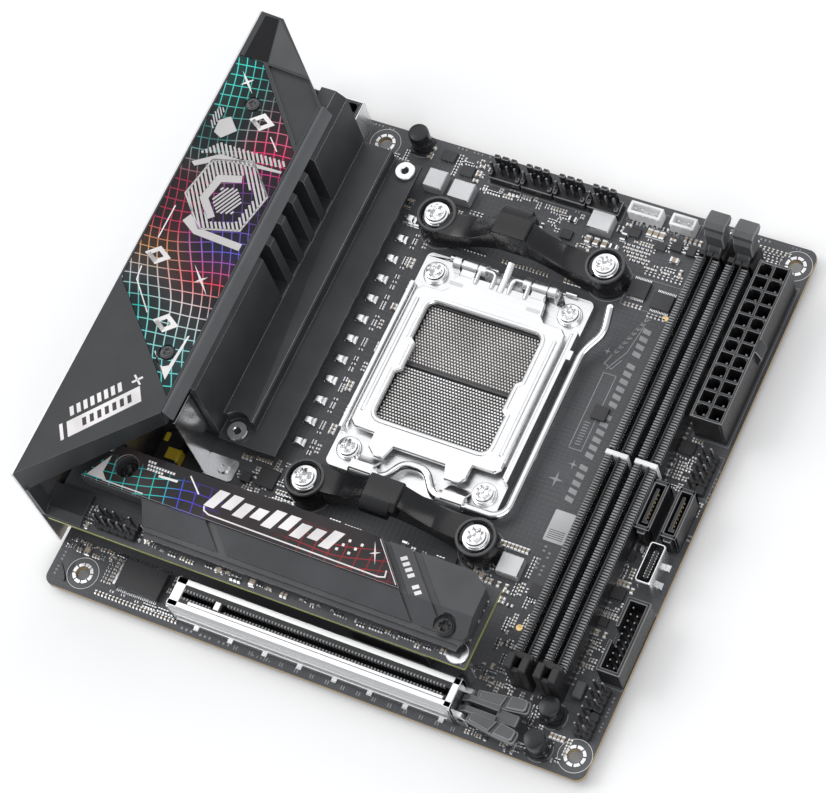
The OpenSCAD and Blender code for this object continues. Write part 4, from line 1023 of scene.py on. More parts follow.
def pin_field(s, x, y, z, nx, ny, top, skip=()):
    """Square pins in notched base blocks. The base is in slot 0 and the pins in slot 1."""
    for i in range(nx):
        for j in range(ny):
            cx, cy = x + i * PIN_PITCH, y + j * PIN_PITCH
            s.slot = 0
            s.prism(rectangle(cx - 1.26, cx + 1.26, cy - 1.26, cy + 1.26, 0.45), z, z + 2.5, 0.12,
                    low=False)
            if (i, j) in skip:
                continue
            s.slot = 1
            s.prism(rectangle(cx - 0.32, cx + 0.32, cy - 0.32, cy + 0.32), z + 2.5, z + top, 0.14,
                    low=False)


def headers():
    """The pin headers along the edges and on the storage board."""
    for name, fields in (
        ("audio_header", [(17.2, 16.2, 17.2, 5, 2, 8.6, [(3, 1)])]),
        ("usb2_header", [(164.4, 89.0, 0, 2, 5, 8.4, [(1, 0)])]),
        ("front_panel_header", [(163.6, 12.6, 0, 2, 3, 8.4, [(1, 2)]),
                                (163.6, 20.4, 0, 2, 3, 8.4, [])]),
    ):
        s = Shape()
        for x, y, z, nx, ny, top, skip in fields:
            pin_field(s, x, y, z, nx, ny, top, skip)
        if name == "front_panel_header":
            s.slot = 2
            s.block(157.6, 160.6, 21, 26, 0, 2.4, 0.3)
        s.piece(name + "_pins", "board", [BLACK, PIN, LATCH], name, (name,))


def fan_sockets():
    """Four 4-pin sockets, each with a notched wall behind its pins."""
    s = Shape()
    for x in (69.2, 79.6, 90.2, 101.0):
        s.slot, s.highlight_edge_slot = 0, 1
        s.block(x, x + 10, 161.4, 166.2, 0, 3.2, 0.25)
        for a, b in ((0.1, 1.2), (8.8, 9.9)):
            s.block(x + a, x + b, 161.6, 163.0, 3.2, 5.0, 0.2)
        for a, b in ((1.4, 3.2), (3.9, 6.1), (6.8, 8.6)):
            s.block(x + a, x + b, 165.0, 166.2, 3.2, 9.6, 0.2)
        s.block(x + 1.4, x + 8.6, 165.2, 166.2, 3.2, 6.4, 0.1)
        s.slot, s.highlight_edge_slot = 2, None
        for i in range(4):
            px = x + 1.2 + i * PIN_PITCH
            s.prism(rectangle(px - 0.32, px + 0.32, 162.9, 163.54), 3.2, 9.4, 0.14, low=False)
    s.piece("fan_sockets", "board", [BLACK, SLOT_GREY_AND_RIM_HIGHLIGHT, PIN], "fan_headers", ("fan_headers",))


def light_sockets():
    """Two white sockets with a row of small windows."""
    s = Shape()
    for x0, x1 in ((113.4, 123.6), (126.6, 134.2)):
        s.slot = 0
        s.blocks((x0, x1, 163, 167, 0, 1.6, 0.15), (x0, x1, 163, 163.9, 1.4, 4.6, 0.2),
                 (x0, x1, 166.2, 167, 1.4, 4.6, 0.2), (x0, x0 + 0.8, 163.5, 166.5, 1.4, 4.6, 0.15),
                 (x1 - 0.8, x1, 163.5, 166.5, 1.4, 4.6, 0.15))
        count = int((x1 - x0 - 1.6) / 2)
        step = (x1 - x0 - 1.6) / count
        for i in range(count + 1):
            cx = x0 + 0.8 + i * step
            s.block(cx - 0.2, cx + 0.2, 162.8, 163.8, 1.0, 4.3, 0.08)
        s.slot = 1
        for i in range(count):
            cx = x0 + 0.8 + (i + 0.5) * step
            s.block(cx - 0.25, cx + 0.25, 164.8, 165.3, 1.6, 4.0, 0.08)
            s.block(cx - 0.25, cx + 0.25, 161.9, 163.0, 0, 0.3, 0.05)
    s.piece("light_sockets", "board", [WHITE, TIN_AND_EDGE_HIGHLIGHT], "light_headers", ("light_headers",))


def drive_ports():
    """Two upright drive ports with an L-shaped tongue, rimmed walls and spring contacts."""
    s = Shape()
    for x0, x1 in ((155.9, 160.6), (163.7, 168.4)):
        s.slot, s.highlight_edge_slot = 0, 1
        s.blocks((x0, x1, 70.3, 85.6, 0, 2.0, 0.2), (x0, x0 + 0.85, 70.3, 85.6, 1.9, 9.0, 0.2),
                 (x1 - 0.85, x1, 70.3, 85.6, 1.9, 9.0, 0.2), (x0, x1, 70.3, 71.4, 1.9, 9.0, 0.2),
                 (x0, x1, 84.4, 85.6, 1.9, 9.0, 0.2), (x0 + 1.2, x1 - 1.2, 69.4, 70.5, 1.0, 7.8, 0.25))
        tongue = [(x0 + 1.5, 72.6), (x0 + 3.2, 72.6), (x0 + 3.2, 73.5), (x0 + 2.4, 73.5),
                  (x0 + 2.4, 83.4), (x0 + 1.5, 83.4)]
        s.prism(tongue, 1.9, 8.0, 0.12)
        s.slot, s.highlight_edge_slot = 2, None
        for k in range(7):
            y = 74.4 + k * 1.2
            s.block(x0 + 2.35, x0 + 2.62, y, y + 0.5, 2.0, 7.2, 0)
    s.piece("drive_ports", "board", [BLACK, SLOT_GREY_AND_RIM_HIGHLIGHT, GOLD], "sata_ports", ("sata_ports",))


def front_usb_ports():
    """The shielded key-shaped socket and the walled twenty-pin header on the front edge."""
    s = Shape()
    outer = round_rectangle(162.4, 167.2, 55.6, 68.0, 1.0, 3)
    inner = inset(outer, 0.45)
    s.loft([[(x, y, z) for x, y in ring] for ring, z in
            ((outer, 0), (outer, 9.0), (inset(outer, 0.2), 9.2), (inner, 9.2), (inner, 1.0), (outer, 0))],
           ends=False)
    s.blocks((161.6, 162.5, 57.5, 59.5, 0, 2.2, 0.15), (161.6, 162.5, 64.0, 66.0, 0, 2.2, 0.15),
             (167.1, 168.6, 58, 60, 0, 2.0, 0.15), (167.1, 168.6, 63.6, 65.6, 0, 2.0, 0.15))
    s.slot = 1
    s.block(162.9, 166.7, 56.1, 67.5, 0.8, 2.4, 0)
    s.block(164.35, 165.25, 57.4, 66.2, 2.2, 8.3, 0.15)
    s.slot = 2
    for k in range(10):
        y = 57.9 + k * 0.82
        s.block(164.1, 165.5, y, y + 0.4, 2.4, 7.9, 0)
    s.piece("key_socket", "board", [CAST, BLACK, TIN_AND_EDGE_HIGHLIGHT], "usb_c_header", ("usb_c_header",))

    s = Shape()
    s.slot, s.highlight_edge_slot = 0, 1
    s.blocks((163, 169.8, 28.4, 50.9, 0, 2.4, 0.2), (163, 164, 28.4, 37.6, 2.2, 9.0, 0.2),
             (163, 164, 41.8, 50.9, 2.2, 9.0, 0.2), (163, 164, 37.4, 42.0, 2.2, 4.4, 0.15),
             (168.8, 169.8, 28.4, 50.9, 2.2, 9.0, 0.2), (163.5, 169.3, 28.4, 29.4, 2.2, 9.0, 0.2),
             (163.5, 169.3, 49.9, 50.9, 2.2, 9.0, 0.2))
    s.slot, s.highlight_edge_slot = 2, None
    for i in range(10):
        for j in (0, 1):
            if i < 9 or j == 0:
                px, py = 165.2 + j * 2, 30.7 + i * 2
                s.prism(rectangle(px - 0.3, px + 0.3, py - 0.3, py + 0.3), 2.3, 7.6, 0.13, low=False)
    s.piece("front_header", "board", [BLACK, SLOT_GREY_AND_RIM_HIGHLIGHT, PIN], "usb3_header", ("usb3_header",))


def battery():
    """Coin cell in a black sleeve with yellow patches, and a two-wire lead."""
    s = Shape()
    s.slot = 1
    s.prism(round_rectangle(14.6, 22.2, 43, 55, 1.8, 4), 0.1, 4.4, 0.6)
    s.slot = 0
    s.prism(rectangle(17.6, 22.3, 45.5, 49.8, 0.3), 0.4, 4.5, 0.5)
    s.prism(rectangle(15.2, 17.0, 50.6, 53.6, 0.3), 3.8, 4.5, 0.2)
    for k, x in enumerate((17.2, 18.8)):
        s.slot = 1 + k
        s.tube(smooth_path([(x, 43.4, 2.4), (x, 41.0, 3.0), (x + 3, 40.0, 1.2), (x + 6, 41.4, 0.7)],
                           1.2, 5), 0.5, 10)
    s.piece("battery_sleeved", "board", [YELLOW, BLACK, BATTERY_RED], "battery", ("battery",), 40)


memory_slots()
memory_latch("a", DIMM_X[0])
memory_latch("b", DIMM_X[1])
expansion_slot()
expansion_latch()
power_socket("main_power_socket", "atx_power_socket", 161.3, 107.7, 2, 12, 12.8,
             (158.6, 168.2, 105.0, 156.6), (128.8, 133.2))
power_socket("processor_power_socket", "cpu_power_socket", 11.1, 161.4, 4, 2, 12.8,
             (8.6, 26.2, 158.9, 168.1))
headers()
fan_sockets()
light_sockets()
drive_ports()
front_usb_ports()
battery()


# ---------------------------------------------------------------- small parts and print on the board

BOARD_THICK = 1.6
CHIP_SIZES = {"tiny": (1.0, 0.5, 0.4), "small": (1.6, 0.8, 0.6), "large": (2.4, 1.5, 1.1)}


class SmallParts(Shape):
    """Chip parts on one board face. Slots: 0 dark body, 1 ceramic, 2 tinned ends."""

    def __init__(self, z=0.0):
        super().__init__()
        self.z = z
        self.taken = set()

    def free(self, x, y, w, h):
        """Takes an area of the board, unless some of it is in use."""
        step = 0.4
        cells = {(i, j) for i in range(round((x - w / 2) / step), round((x + w / 2) / step) + 1)
                 for j in range(round((y - h / 2) / step), round((y + h / 2) / step) + 1)}
        if cells & self.taken:
            return False
        self.taken |= cells
        return True

    def chip(self, x, y, size="tiny", upright=False, slot=0):
        """One chip part with its two tinned ends and solder, where the board is free."""
        length, width, height = CHIP_SIZES[size]
        if not self.free(x, y, *((width, length) if upright else (length, width))):
            return
        self.place = (Matrix.Translation((x, y, self.z))
                      @ Matrix.Rotation(math.pi / 2 if upright else 0, 4, "Z"))
        self.slot = slot
        self.block(-length * 0.27, length * 0.27, -width / 2, width / 2, 0.02, height * 0.95, 0)
        self.slot = 2
        for side in (-1, 1):
            a, b = sorted((side * length * 0.26, side * length / 2))
            self.block(a, b, -width * 0.52, width * 0.52, 0.02, height, 0)
            a, b = sorted((side * length * 0.3, side * (length / 2 + 0.16)))
            self.block(a, b, -width * 0.6, width * 0.6, 0.0, 0.09, 0)
        self.place = Matrix.Identity(4)

    def row(self, x, y, dx, dy, count, size="tiny", upright=False, slot=0):
        """A row of chip parts at even steps."""
        for i in range(count):
            self.chip(x + dx * i, y + dy * i, size, upright, slot)

    def patch(self, x0, x1, y0, y1, rows, large=0.15):
        """Short rows of chip parts at random places and turns, as on a dense board."""
        for _ in range(rows):
            size = "tiny"
            pick = random.random()
            if pick < large:
                size = "small" if pick > large * 0.3 else "large"
            upright = random.random() < 0.5
            length, width, _ = CHIP_SIZES[size]
            count = random.randint(2, 6) if size == "tiny" else random.randint(1, 3)
            x, y = random.uniform(x0, x1), random.uniform(y0, y1)
            slot = 1 if random.random() < 0.4 else 0
            for i in range(count):
                px = x + (i * (width + 0.4) if upright else 0)
                py = y + (0 if upright else i * (width + 0.4))
                if x0 <= px <= x1 and y0 <= py <= y1:
                    self.chip(px, py, size, upright, slot)

    def package(self, x, y, w, h, height, leads=0, upright=False):
        """A black chip. Its leads are on both long sides, or flush all round where there are none."""
        if not self.free(x, y, w, h):
            return
        self.place = Matrix.Translation((x, y, self.z))
        self.slot = 0
        self.block(-w / 2, w / 2, -h / 2, h / 2, 0.06, height, 0.1)
        self.slot = 2
        span, across = (h, w) if upright else (w, h)
        count = leads or int(span / 0.65)
        reach, top = (0.9, height * 0.45) if leads else (0.14, 0.12)
        for i in range(count):
            at = -span / 2 + span * (i + 0.5) / count
            for side in (-1, 1):
                a, b = sorted((side * across / 2, side * (across / 2 + reach)))
                if upright:
                    self.block(a, b, at - 0.15, at + 0.15, 0.0, top, 0)
                else:
                    self.block(at - 0.15, at + 0.15, a, b, 0.0, top, 0)
        self.place = Matrix.Identity(4)


def small_parts():
    """The chip parts of the main board."""
    s = SmallParts()
    for x, y, w, h, height, leads, upright in (
        (54.0, 165.4, 4.4, 3.6, 0.9, 0, False), (61.4, 162.4, 4.2, 3.6, 0.9, 0, False),
        (98.3, 152.2, 3.4, 3.0, 0.9, 0, False), (117.2, 159.0, 3.2, 3.0, 0.9, 0, False),
        (126.2, 157.0, 3.0, 2.2, 0.8, 0, False), (130.6, 158.4, 3.4, 2.6, 1.0, 3, True),
        (135.2, 158.4, 2.6, 3.0, 1.0, 3, True), (158.4, 100.4, 4.4, 4.0, 0.9, 0, False),
        (157.6, 53.4, 3.8, 3.6, 0.9, 0, False), (156.9, 44.4, 3.0, 2.6, 0.8, 0, False),
        (59.6, 52.6, 2.6, 2.6, 0.8, 0, False), (108.9, 46.4, 4.8, 2.4, 1.2, 0, False),
        (115.6, 138.4, 2.6, 1.6, 0.9, 3, False), (139.4, 12.6, 3.0, 2.4, 0.9, 3, False),
        (156.6, 64.6, 2.4, 2.2, 0.8, 0, False), (149.8, 16.8, 2.6, 1.8, 0.8, 3, False),
    ):
        s.package(x, y, w, h, height, leads, upright)
    for x, y, dx, dy, count, size, upright, slot in (
        (16.6, 2.5, 1.15, 0.0, 24, "tiny", True, 1), (16.6, 3.9, 1.3, 0.0, 9, "tiny", True, 0),
        (17.0, 6.2, 0.0, 1.1, 6, "tiny", False, 0), (18.9, 6.2, 0.0, 1.1, 8, "tiny", False, 1),
        (48.0, 163.6, 0.0, 1.05, 5, "small", False, 1), (57.4, 161.0, 0.0, 1.0, 7, "tiny", False, 0),
        (64.9, 160.4, 0.0, 1.0, 6, "small", False, 1), (105.0, 152.6, 2.6, 0.0, 3, "large", True, 1),
        (119.4, 160.4, 1.9, 0.0, 4, "large", True, 1), (118.4, 163.0, 3.4, 0.0, 4, "small", False, 0),
        (116.2, 155.0, 1.45, 0.0, 6, "tiny", False, 0), (116.2, 153.9, 1.45, 0.0, 6, "tiny", False, 1),
        (116.9, 152.8, 1.45, 0.0, 5, "tiny", False, 0), (118.4, 151.7, 1.45, 0.0, 5, "tiny", False, 1),
        (119.6, 150.6, 1.45, 0.0, 4, "tiny", False, 0), (124.6, 149.6, 1.35, 0.0, 9, "tiny", False, 1),
        (125.2, 148.2, 1.35, 0.0, 9, "tiny", True, 0), (123.4, 137.0, 1.2, 0.0, 5, "tiny", True, 1),
        (131.2, 135.6, 1.2, 0.0, 5, "tiny", True, 0), (121.0, 141.0, 0.0, 1.2, 3, "tiny", False, 0),
        (125.4, 154.2, 6.2, 0.0, 2, "large", False, 1), (132.0, 161.8, 1.5, 0.0, 4, "small", True, 1),
        (153.2, 166.4, 1.3, 0.0, 8, "tiny", True, 1), (154.0, 164.8, 1.3, 0.0, 6, "tiny", True, 0),
        (155.6, 163.0, 1.3, 0.0, 4, "tiny", True, 1), (120.6, 56.4, 1.15, 0.0, 8, "small", True, 1),
        (131.6, 55.4, 0.0, -1.0, 7, "tiny", False, 0), (121.4, 44.6, 1.2, 0.0, 6, "small", True, 1),
        (127.8, 40.0, 0.0, 1.1, 5, "small", False, 1), (130.0, 43.2, 0.0, 1.1, 4, "tiny", False, 0),
        (131.6, 43.8, 0.0, 1.1, 4, "tiny", False, 1), (134.6, 40.8, 0.0, 1.0, 4, "tiny", False, 0),
        (155.6, 56.8, 1.2, 0.0, 4, "small", True, 1), (155.6, 48.0, 0.9, 0.0, 5, "tiny", True, 0),
        (155.6, 46.6, 0.9, 0.0, 6, "tiny", True, 1), (155.6, 41.0, 1.1, 0.0, 4, "small", True, 1),
        (155.8, 38.8, 0.9, 0.0, 4, "tiny", True, 0), (157.0, 34.4, 0.0, 1.1, 4, "tiny", False, 1),
        (155.2, 91.2, 0.0, 1.1, 4, "small", False, 1), (157.4, 91.0, 0.0, 1.0, 6, "tiny", False, 0),
        (159.2, 91.0, 0.0, 1.0, 6, "tiny", False, 1), (68.0, 150.2, 1.2, 0.0, 4, "tiny", True, 0),
        (66.0, 138.6, 1.1, 0.0, 12, "tiny", True, 0), (84.0, 138.2, 1.1, 0.0, 14, "tiny", True, 1),
        (104.0, 138.4, 1.2, 0.0, 5, "small", True, 1), (156.8, 9.4, 1.15, 0.0, 4, "small", True, 1),
    ):
        s.row(x, y, dx, dy, count, size, upright, slot)
    # columns between the power stages and the processor socket
    for k in range(12):
        y = 62.6 + k * 7.1
        s.row(56.2, y, 0.0, 0.72, 7, "tiny", False, 0)
        s.row(58.2 + (k % 3) * 1.4, y + 1.2, 0.0, 1.15, 3, "small" if k % 2 else "tiny", False, 1)
    for k in range(4):
        s.row(61.6, 78.0 + k * 13.0, 0.0, 0.7, 9, "tiny", False, 1)
    for x0, x1, y0, y1, rows, large in (
        (67.0, 85.0, 157.6, 160.8, 26, 0.15), (86, 101, 157, 160.4, 16, 0.3),
        (88, 100, 148.8, 157, 10, 0.3), (101, 117, 148, 153.6, 14, 0.3), (112, 138, 155, 162.4, 24, 0.35),
        (124, 140, 146.8, 151.4, 12, 0.1), (37.5, 43, 158.4, 163.6, 8, 0.2), (46, 50, 145, 152, 6, 0.3),
        (1.6, 20.6, 11.4, 15.4, 44, 0.12), (20, 44, 1.9, 4.4, 16, 0.0), (36.6, 41.4, 3.2, 15, 12, 0.15),
        (134, 153, 1.4, 4.6, 34, 0.2), (147.2, 153.4, 9.4, 15, 10, 0.1), (134.5, 142, 13.5, 19, 12, 0.2),
        (129.5, 141.5, 17.5, 31.5, 42, 0.25), (128, 139, 31.5, 46, 16, 0.2), (143, 157, 12, 18, 18, 0.15),
        (155, 160.4, 28, 50, 18, 0.2), (155, 161, 50, 69, 14, 0.15), (155, 162, 86.4, 104, 22, 0.2),
        (156, 163, 1.6, 11, 12, 0.2), (166, 169.4, 70, 88, 5, 0.2), (38, 60, 46, 58, 30, 0.25),
        (60, 80, 42.6, 46, 10, 0.2), (98, 122, 42.4, 46.4, 16, 0.25), (62, 66, 118, 130, 4, 0.2),
        (27, 40, 38, 46, 10, 0.3), (50, 66, 140, 150, 6, 0.2), (154.6, 157.6, 104, 160, 8, 0.0),
        (140, 152, 163.4, 168.6, 10, 0.1), (57, 68, 160, 168.4, 14, 0.2), (103, 122, 42, 56, 6, 0.2),
    ):
        s.patch(x0, x1, y0, y1, rows, large)
    # leads of the two power chips beside the memory slots
    s.slot = 2
    for x0, y0, y1, count in ((122.8, 139.6, 145.0, 11), (130.8, 137.8, 143.0, 12)):
        for i in range(count):
            x = x0 + 0.35 + i * 0.48
            for a, b in ((y0 - 1.0, y0 + 0.1), (y1 - 0.1, y1 + 1.0)):
                s.block(x, x + 0.24, a, b, 0.0, 0.55, 0)
    # leads of the sound chip
    for i in range(22):
        x = 22.2 + i * 0.6
        for a, b in ((4.9, 5.9), (14.5, 15.4)):
            s.block(x, x + 0.26, a, b, 0.0, 0.4, 0)
    s.block(20.7, 21.5, 6.0, 14.4, 0.0, 2.1, 0.15)
    s.piece("chip_parts", "board", [CHIP, CERAMIC, TIN_AND_EDGE_HIGHLIGHT], "controllers")

    s = SmallParts(-BOARD_THICK)
    s.slot = 2
    for x, y in [(random.uniform(12, 160), random.uniform(8, 160)) for _ in range(260)]:
        if not (58 < x < 121 and 40 < y < 155):     # the backplate covers this part
            s.ring(x, y, 0.18, 0.45, -1.66, -1.61, 10)
    s.piece("rear_vias", "board", [CHIP, CERAMIC, TIN_AND_EDGE_HIGHLIGHT], "pcb")


def mount_rings():
    """Plated petals and a printed circle round each fixing hole."""
    s = Shape()
    for x, y in MOUNT_HOLES:
        s.slot = 1
        s.ring(x, y, 4.7, 4.85, 0.0, 0.03, 64)
        s.slot = 2
        s.ring(x, y, 3.35, 4.5, 0.0, 0.012, 48)
        s.slot = 0
        for k in range(8):
            a = math.tau * k / 8 + 0.2
            arc = [a + math.radians(4 + 37 * j / 4) for j in range(5)]
            outline = ([(x + 3.15 * math.cos(t), y + 3.15 * math.sin(t)) for t in arc]
                       + [(x + 2.2 * math.cos(t), y + 2.2 * math.sin(t)) for t in reversed(arc)])
            s.prism(outline, 0.0, 0.07, 0.02)
            s.prism(outline, -1.66, -BOARD_THICK, 0.02)
    for x, y in ((136.3, 136.2), (135.7, 34.9)):
        s.slot = 3
        s.turned(x, y, [(0.95, 0.0), (0.95, 0.06), (0.55, 0.05), (0.35, 0.02)], 24)
        s.slot = 2
        s.ring(x, y, 0.98, 1.7, 0.0, 0.015, 24)
    s.piece("plated_rings", "board", [TIN_AND_EDGE_HIGHLIGHT, INK, COPPER_MASK, GOLD], "pcb")


def star(s, x, y, r, z, stretch=1.0, turn=0.0):
    """A four-point star with hollow sides."""
    points = []
    for k in range(8):
        d = r * (1 if k % 2 == 0 else 0.22) * (stretch if k % 4 == 0 else 1)
        a = turn + math.tau * k / 8
        points.append((x + d * math.cos(a), y + d * math.sin(a)))
    s.flat(points, z)


def slanted(s, x, y, w, h, lean, z, hollow=0.0, along=(1, 0)):
    """A leaning block of print, solid or as a frame, with its base along a direction."""
    u = Vector(along)
    v = Vector((-u.y, u.x))
    corners = [(0, 0), (w, 0), (w + lean, h), (lean, h)]
    outline = [tuple(Vector((x, y)) + u * a + v * b) for a, b in corners]
    if hollow:
        s.stroke(outline + outline[:2], hollow, z)
    else:
        s.flat(outline, z)


def print_marks():
    """White print: frames, stars and plain blocks where a real board has its lettering."""
    s = Shape()
    # framed strip, stars and the column of blocks beside the memory slots
    s.stroke([(126.4, 89.7), (126.4, 114.6), (130.3, 114.6), (130.3, 89.7), (126.4, 89.7),
              (126.4, 90.0)], 0.22, 0.0)
    for k in range(9):
        s.stroke([(127.5, 91.4 + k * 0.9), (129.2, 91.4 + k * 0.9)], 0.25, 0.0)
    star(s, 127.0, 79.4, 2.3, 0.0, 1.1, math.pi / 2)
    star(s, 129.8, 85.2, 1.4, 0.0, 1.1, math.pi / 2)
    star(s, 124.8, 121.2, 1.2, 0.0, 1.1, math.pi / 2)
    y = 74.0
    for group in (5, 6, 6, 4):
        for k in range(group):
            slanted(s, 134.3, y, 1.5, 2.5, 0.5, 0.0, 0, (0, 1))
            y += 2.55
        y += 1.5
    # leaning strokes between the lever and the slots
    for k in range(9):
        x, y = 125.4 + k * 0.62, 117.0 + k * 1.75
        s.stroke([(x, y), (x + 0.9, y + 3.6), (x + 2.6, y + 5.2)], 0.28, 0.0)
    s.stroke([(126.6, 115.8), (130.2, 122.6), (131.6, 132.0)], 0.24, 0.0)
    s.stroke([(125.2, 117.6), (128.0, 116.2), (129.8, 119.8)], 0.24, 0.0)
    # short rows of blocks by the edges
    for x, y, dx, dy, count, size in (
        (45.2, 1.1, 1.5, 0.0, 11, 0.9), (1.8, 3.4, 0.0, 1.15, 9, 0.8), (132.4, 52.6, 0.0, 1.35, 6, 0.9),
        (134.2, 51.0, 0.0, 1.35, 6, 0.9), (168.2, 15.0, 0.0, 1.1, 10, 0.7), (169.2, 87.0, 0.0, 1.2, 9, 0.7),
        (141.8, 168.6, 1.3, 0.0, 12, 0.8), (116.0, 161.7, 1.2, 0.0, 5, 0.6),
        (128.0, 161.6, 1.2, 0.0, 4, 0.6),
        (137.0, 22.0, 0.0, 1.25, 9, 0.8), (138.6, 22.0, 0.0, 1.25, 9, 0.8), (27.2, 168.7, 1.2, 0.0, 6, 0.7),
        (55.0, 169.0, 1.3, 0.0, 9, 0.7), (68.4, 1.0, 1.3, 0.0, 5, 0.6), (162.0, 168.9, 1.1, 0.0, 4, 0.5),
    ):
        for k in range(count):
            if k % 4 == 3:
                continue
            bx, by = x + dx * k, y + dy * k
            wide, high = (0.6, 0.8) if dx else (0.8, 0.6)
            s.flat(rectangle(bx, bx + size * wide, by, by + size * high), 0.0)
    # pads along the slot edge
    for k in range(15):
        x = 62.4 + k * 4.85
        for dx in (0.0, 0.75):
            s.stroke([(x + dx, 0.9), (x + dx, 2.1)], 0.28, 0.0)
    # outlines round connectors and chips
    for x0, x1, y0, y1 in (
        (155.3, 161.1, 69.0, 86.2), (162.0, 169.6, 27.6, 51.6), (157.9, 168.9, 104.3, 157.3),
        (162.3, 169.2, 87.6, 101.0), (68.6, 111.6, 160.8, 166.8), (112.8, 134.8, 162.4, 167.6),
        (7.8, 27.0, 158.2, 168.8), (121.9, 137.8, 136.6, 146.4), (41.6, 42.2, 1.6, 13.8),
    ):
        s.stroke([(x0, y0), (x1, y0), (x1, y1), (x0, y1), (x0, y0), (x0 + 0.3, y0)], 0.13, 0.0, 0.02)
    for x, y in CAN_SPOTS:
        s.ring(x, y, 3.75, 3.95, 0.0, 0.03, 40)
    for x in (SOCKET.x - BRACKET_REACH, SOCKET.x + BRACKET_REACH):
        for y in BRACKET_Y:
            s.ring(x, y, 6.7, 6.85, 0.0, 0.02, 48)
    s.piece("board_print", "board", [FAINT_INK], "pcb")


def sticker():
    """A plain silver sticker with five lines."""
    s = Shape()
    s.prism(round_rectangle(130.9, 137.1, 61.3, 71.1, 0.4, 3), 0.0, 0.08, 0.02)
    s.slot = 1
    for k in range(5):
        s.stroke([(131.6, 62.4 + k * 0.62), (136.4, 62.4 + k * 0.62)], 0.18, 0.08)
    s.piece("plain_sticker", "board", [STICKER, CHIP], "pcb")


def copper_runs():
    """Copper runs under the mask, from the socket to the memory slots and round the edges, and vias."""
    s = Shape()
    for k in range(58):
        y = 72.0 + k * 0.98
        jog = 1.6 + 1.4 * math.sin(k * 0.37)
        s.stroke([(114.9, y), (119.0 + jog * 0.6, y), (120.4 + jog * 0.6, y + jog),
                  (131.0 - (k % 5) * 0.5, y + jog), (132.6 - (k % 5) * 0.5, y + jog * 0.4),
                  (139.6, y + jog * 0.4)], 0.2, 0.0, RUN_THICK)
    for k in range(22):
        y = 112.0 - k * 2.1
        s.stroke([(58.0, y), (60.4, y), (61.6, y + 1.2), (63.2, y + 1.2)], 0.3, 0.0, RUN_THICK)
    for k in range(26):
        x = 68.0 + k * 1.6
        s.stroke([(x, 135.2), (x, 137.0), (x + 1.4, 138.4), (x + 1.4, 149.0)], 0.22, 0.0, RUN_THICK)
        s.stroke([(x, 58.0), (x, 55.4), (x - 1.4, 54.0), (x - 1.4, 45.6)], 0.22, 0.0, RUN_THICK)
    for k in range(30):
        y = 24.0 + k * 4.3
        s.stroke([(154.9, y), (156.6, y), (157.9, y + 1.3), (161.4, y + 1.3)], 0.22, 0.0, RUN_THICK)
    for k in range(9):
        x = 2.0 + k * 0.55
        s.stroke([(x, 18.0), (x, 8.0 - k * 0.5), (8.0 - k * 0.3, 1.2 + k * 0.05)], 0.2, 0.0, RUN_THICK)
    s.slot = 1
    for _ in range(420):
        low, high = random.choice(((114.5, 141), (60, 116), (56, 120), (128, 142), (153.6, 169.6),
                                   (44, 130)))
        y = random.uniform(44, 158) if low > 100 else random.uniform(138, 158)
        s.ring(random.uniform(low, high), y, 0.1, 0.24, 0.0, 0.02, 8)
    s.piece("copper_runs", "board", [COPPER_MASK, VIA], "pcb")


def storage_parts():
    """Chip parts on the raised storage board."""
    s = SmallParts((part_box("storage_board")[1].z - pcb_high.z) / MM)
    for x0, x1, y0, y1, rows, large in ((4, 14, 14.6, 23, 26, 0.2), (28.4, 36, 15, 20, 14, 0.2),
                                        (36, 128, 14.9, 16.2, 60, 0.25), (124, 131, 14.8, 36, 18, 0.2),
                                        (40, 120, 39.4, 40.6, 20, 0.2)):
        s.patch(x0, x1, y0, y1, rows, large)
    s.piece("storage_chip_parts", "board", [CHIP, CERAMIC, TIN_AND_EDGE_HIGHLIGHT], "storage_board")


small_parts()
mount_rings()
print_marks()
sticker()
copper_runs()
storage_parts()


# ---------------------------------------------------------------- printed panels

def board_millimetres(tree, where):
    """Board x and y, in millimetres, at a surface point."""
    offset = BOARD.inverted().translation
    placed = add_node(tree, "Mapping", {"Vector": where, "Location": offset,
                                        "Scale": (1 / MM, 1 / MM, 1 / MM)}).outputs[0]
    split = add_node(tree, "SeparateXYZ", {"Vector": placed})
    return placed, split.outputs["X"], split.outputs["Y"]


def net(tree, placed, x, y, angle, pitch, width, wave, bend):
    """One family of bent parallel lines: 1 on a line and 0 between lines."""
    warp = add_node(tree, "TexNoise", {"Vector": placed, "Scale": wave, "Detail": 0.0}).outputs["Fac"]
    along = maths(tree, "ADD", maths(tree, "MULTIPLY", x, math.cos(angle) / pitch),
                  maths(tree, "MULTIPLY", y, math.sin(angle) / pitch))
    bent = maths(tree, "ADD", along, maths(tree, "MULTIPLY", warp, bend))
    away = maths(tree, "PINGPONG", bent, 0.5)
    return add_node(tree, "MapRange", {"Value": away, "From Min": width / pitch * 0.4,
                                       "From Max": width / pitch * 0.75, "To Min": 1.0,
                                       "To Max": 0.0}).outputs[0]


def ramp(tree, value, stops):
    """A colour ramp over the given (position, colour) stops."""
    made = tree.nodes.new("ShaderNodeValToRGB")
    tree.links.new(value, made.inputs[0])
    marks = made.color_ramp.elements
    while len(marks) < len(stops):
        marks.new(0.5)
    for mark, (position, colour) in zip(marks, stops):
        mark.position = position
        mark.color = (*colour, 1)
    return made.outputs[0]


def finish_print(made, tree, shader, where, paint, rough):
    """Glossy printed film: the paint, a clear coat and slight unevenness."""
    shader.inputs["Specular IOR Level"].default_value = 0.2
    shader.inputs["Coat Weight"].default_value = 0.06
    shader.inputs["Coat Roughness"].default_value = 0.12
    surface(tree, shader, where, paint, rough, 2200, 1.2e-5, 0.06, 0.08)
    return made


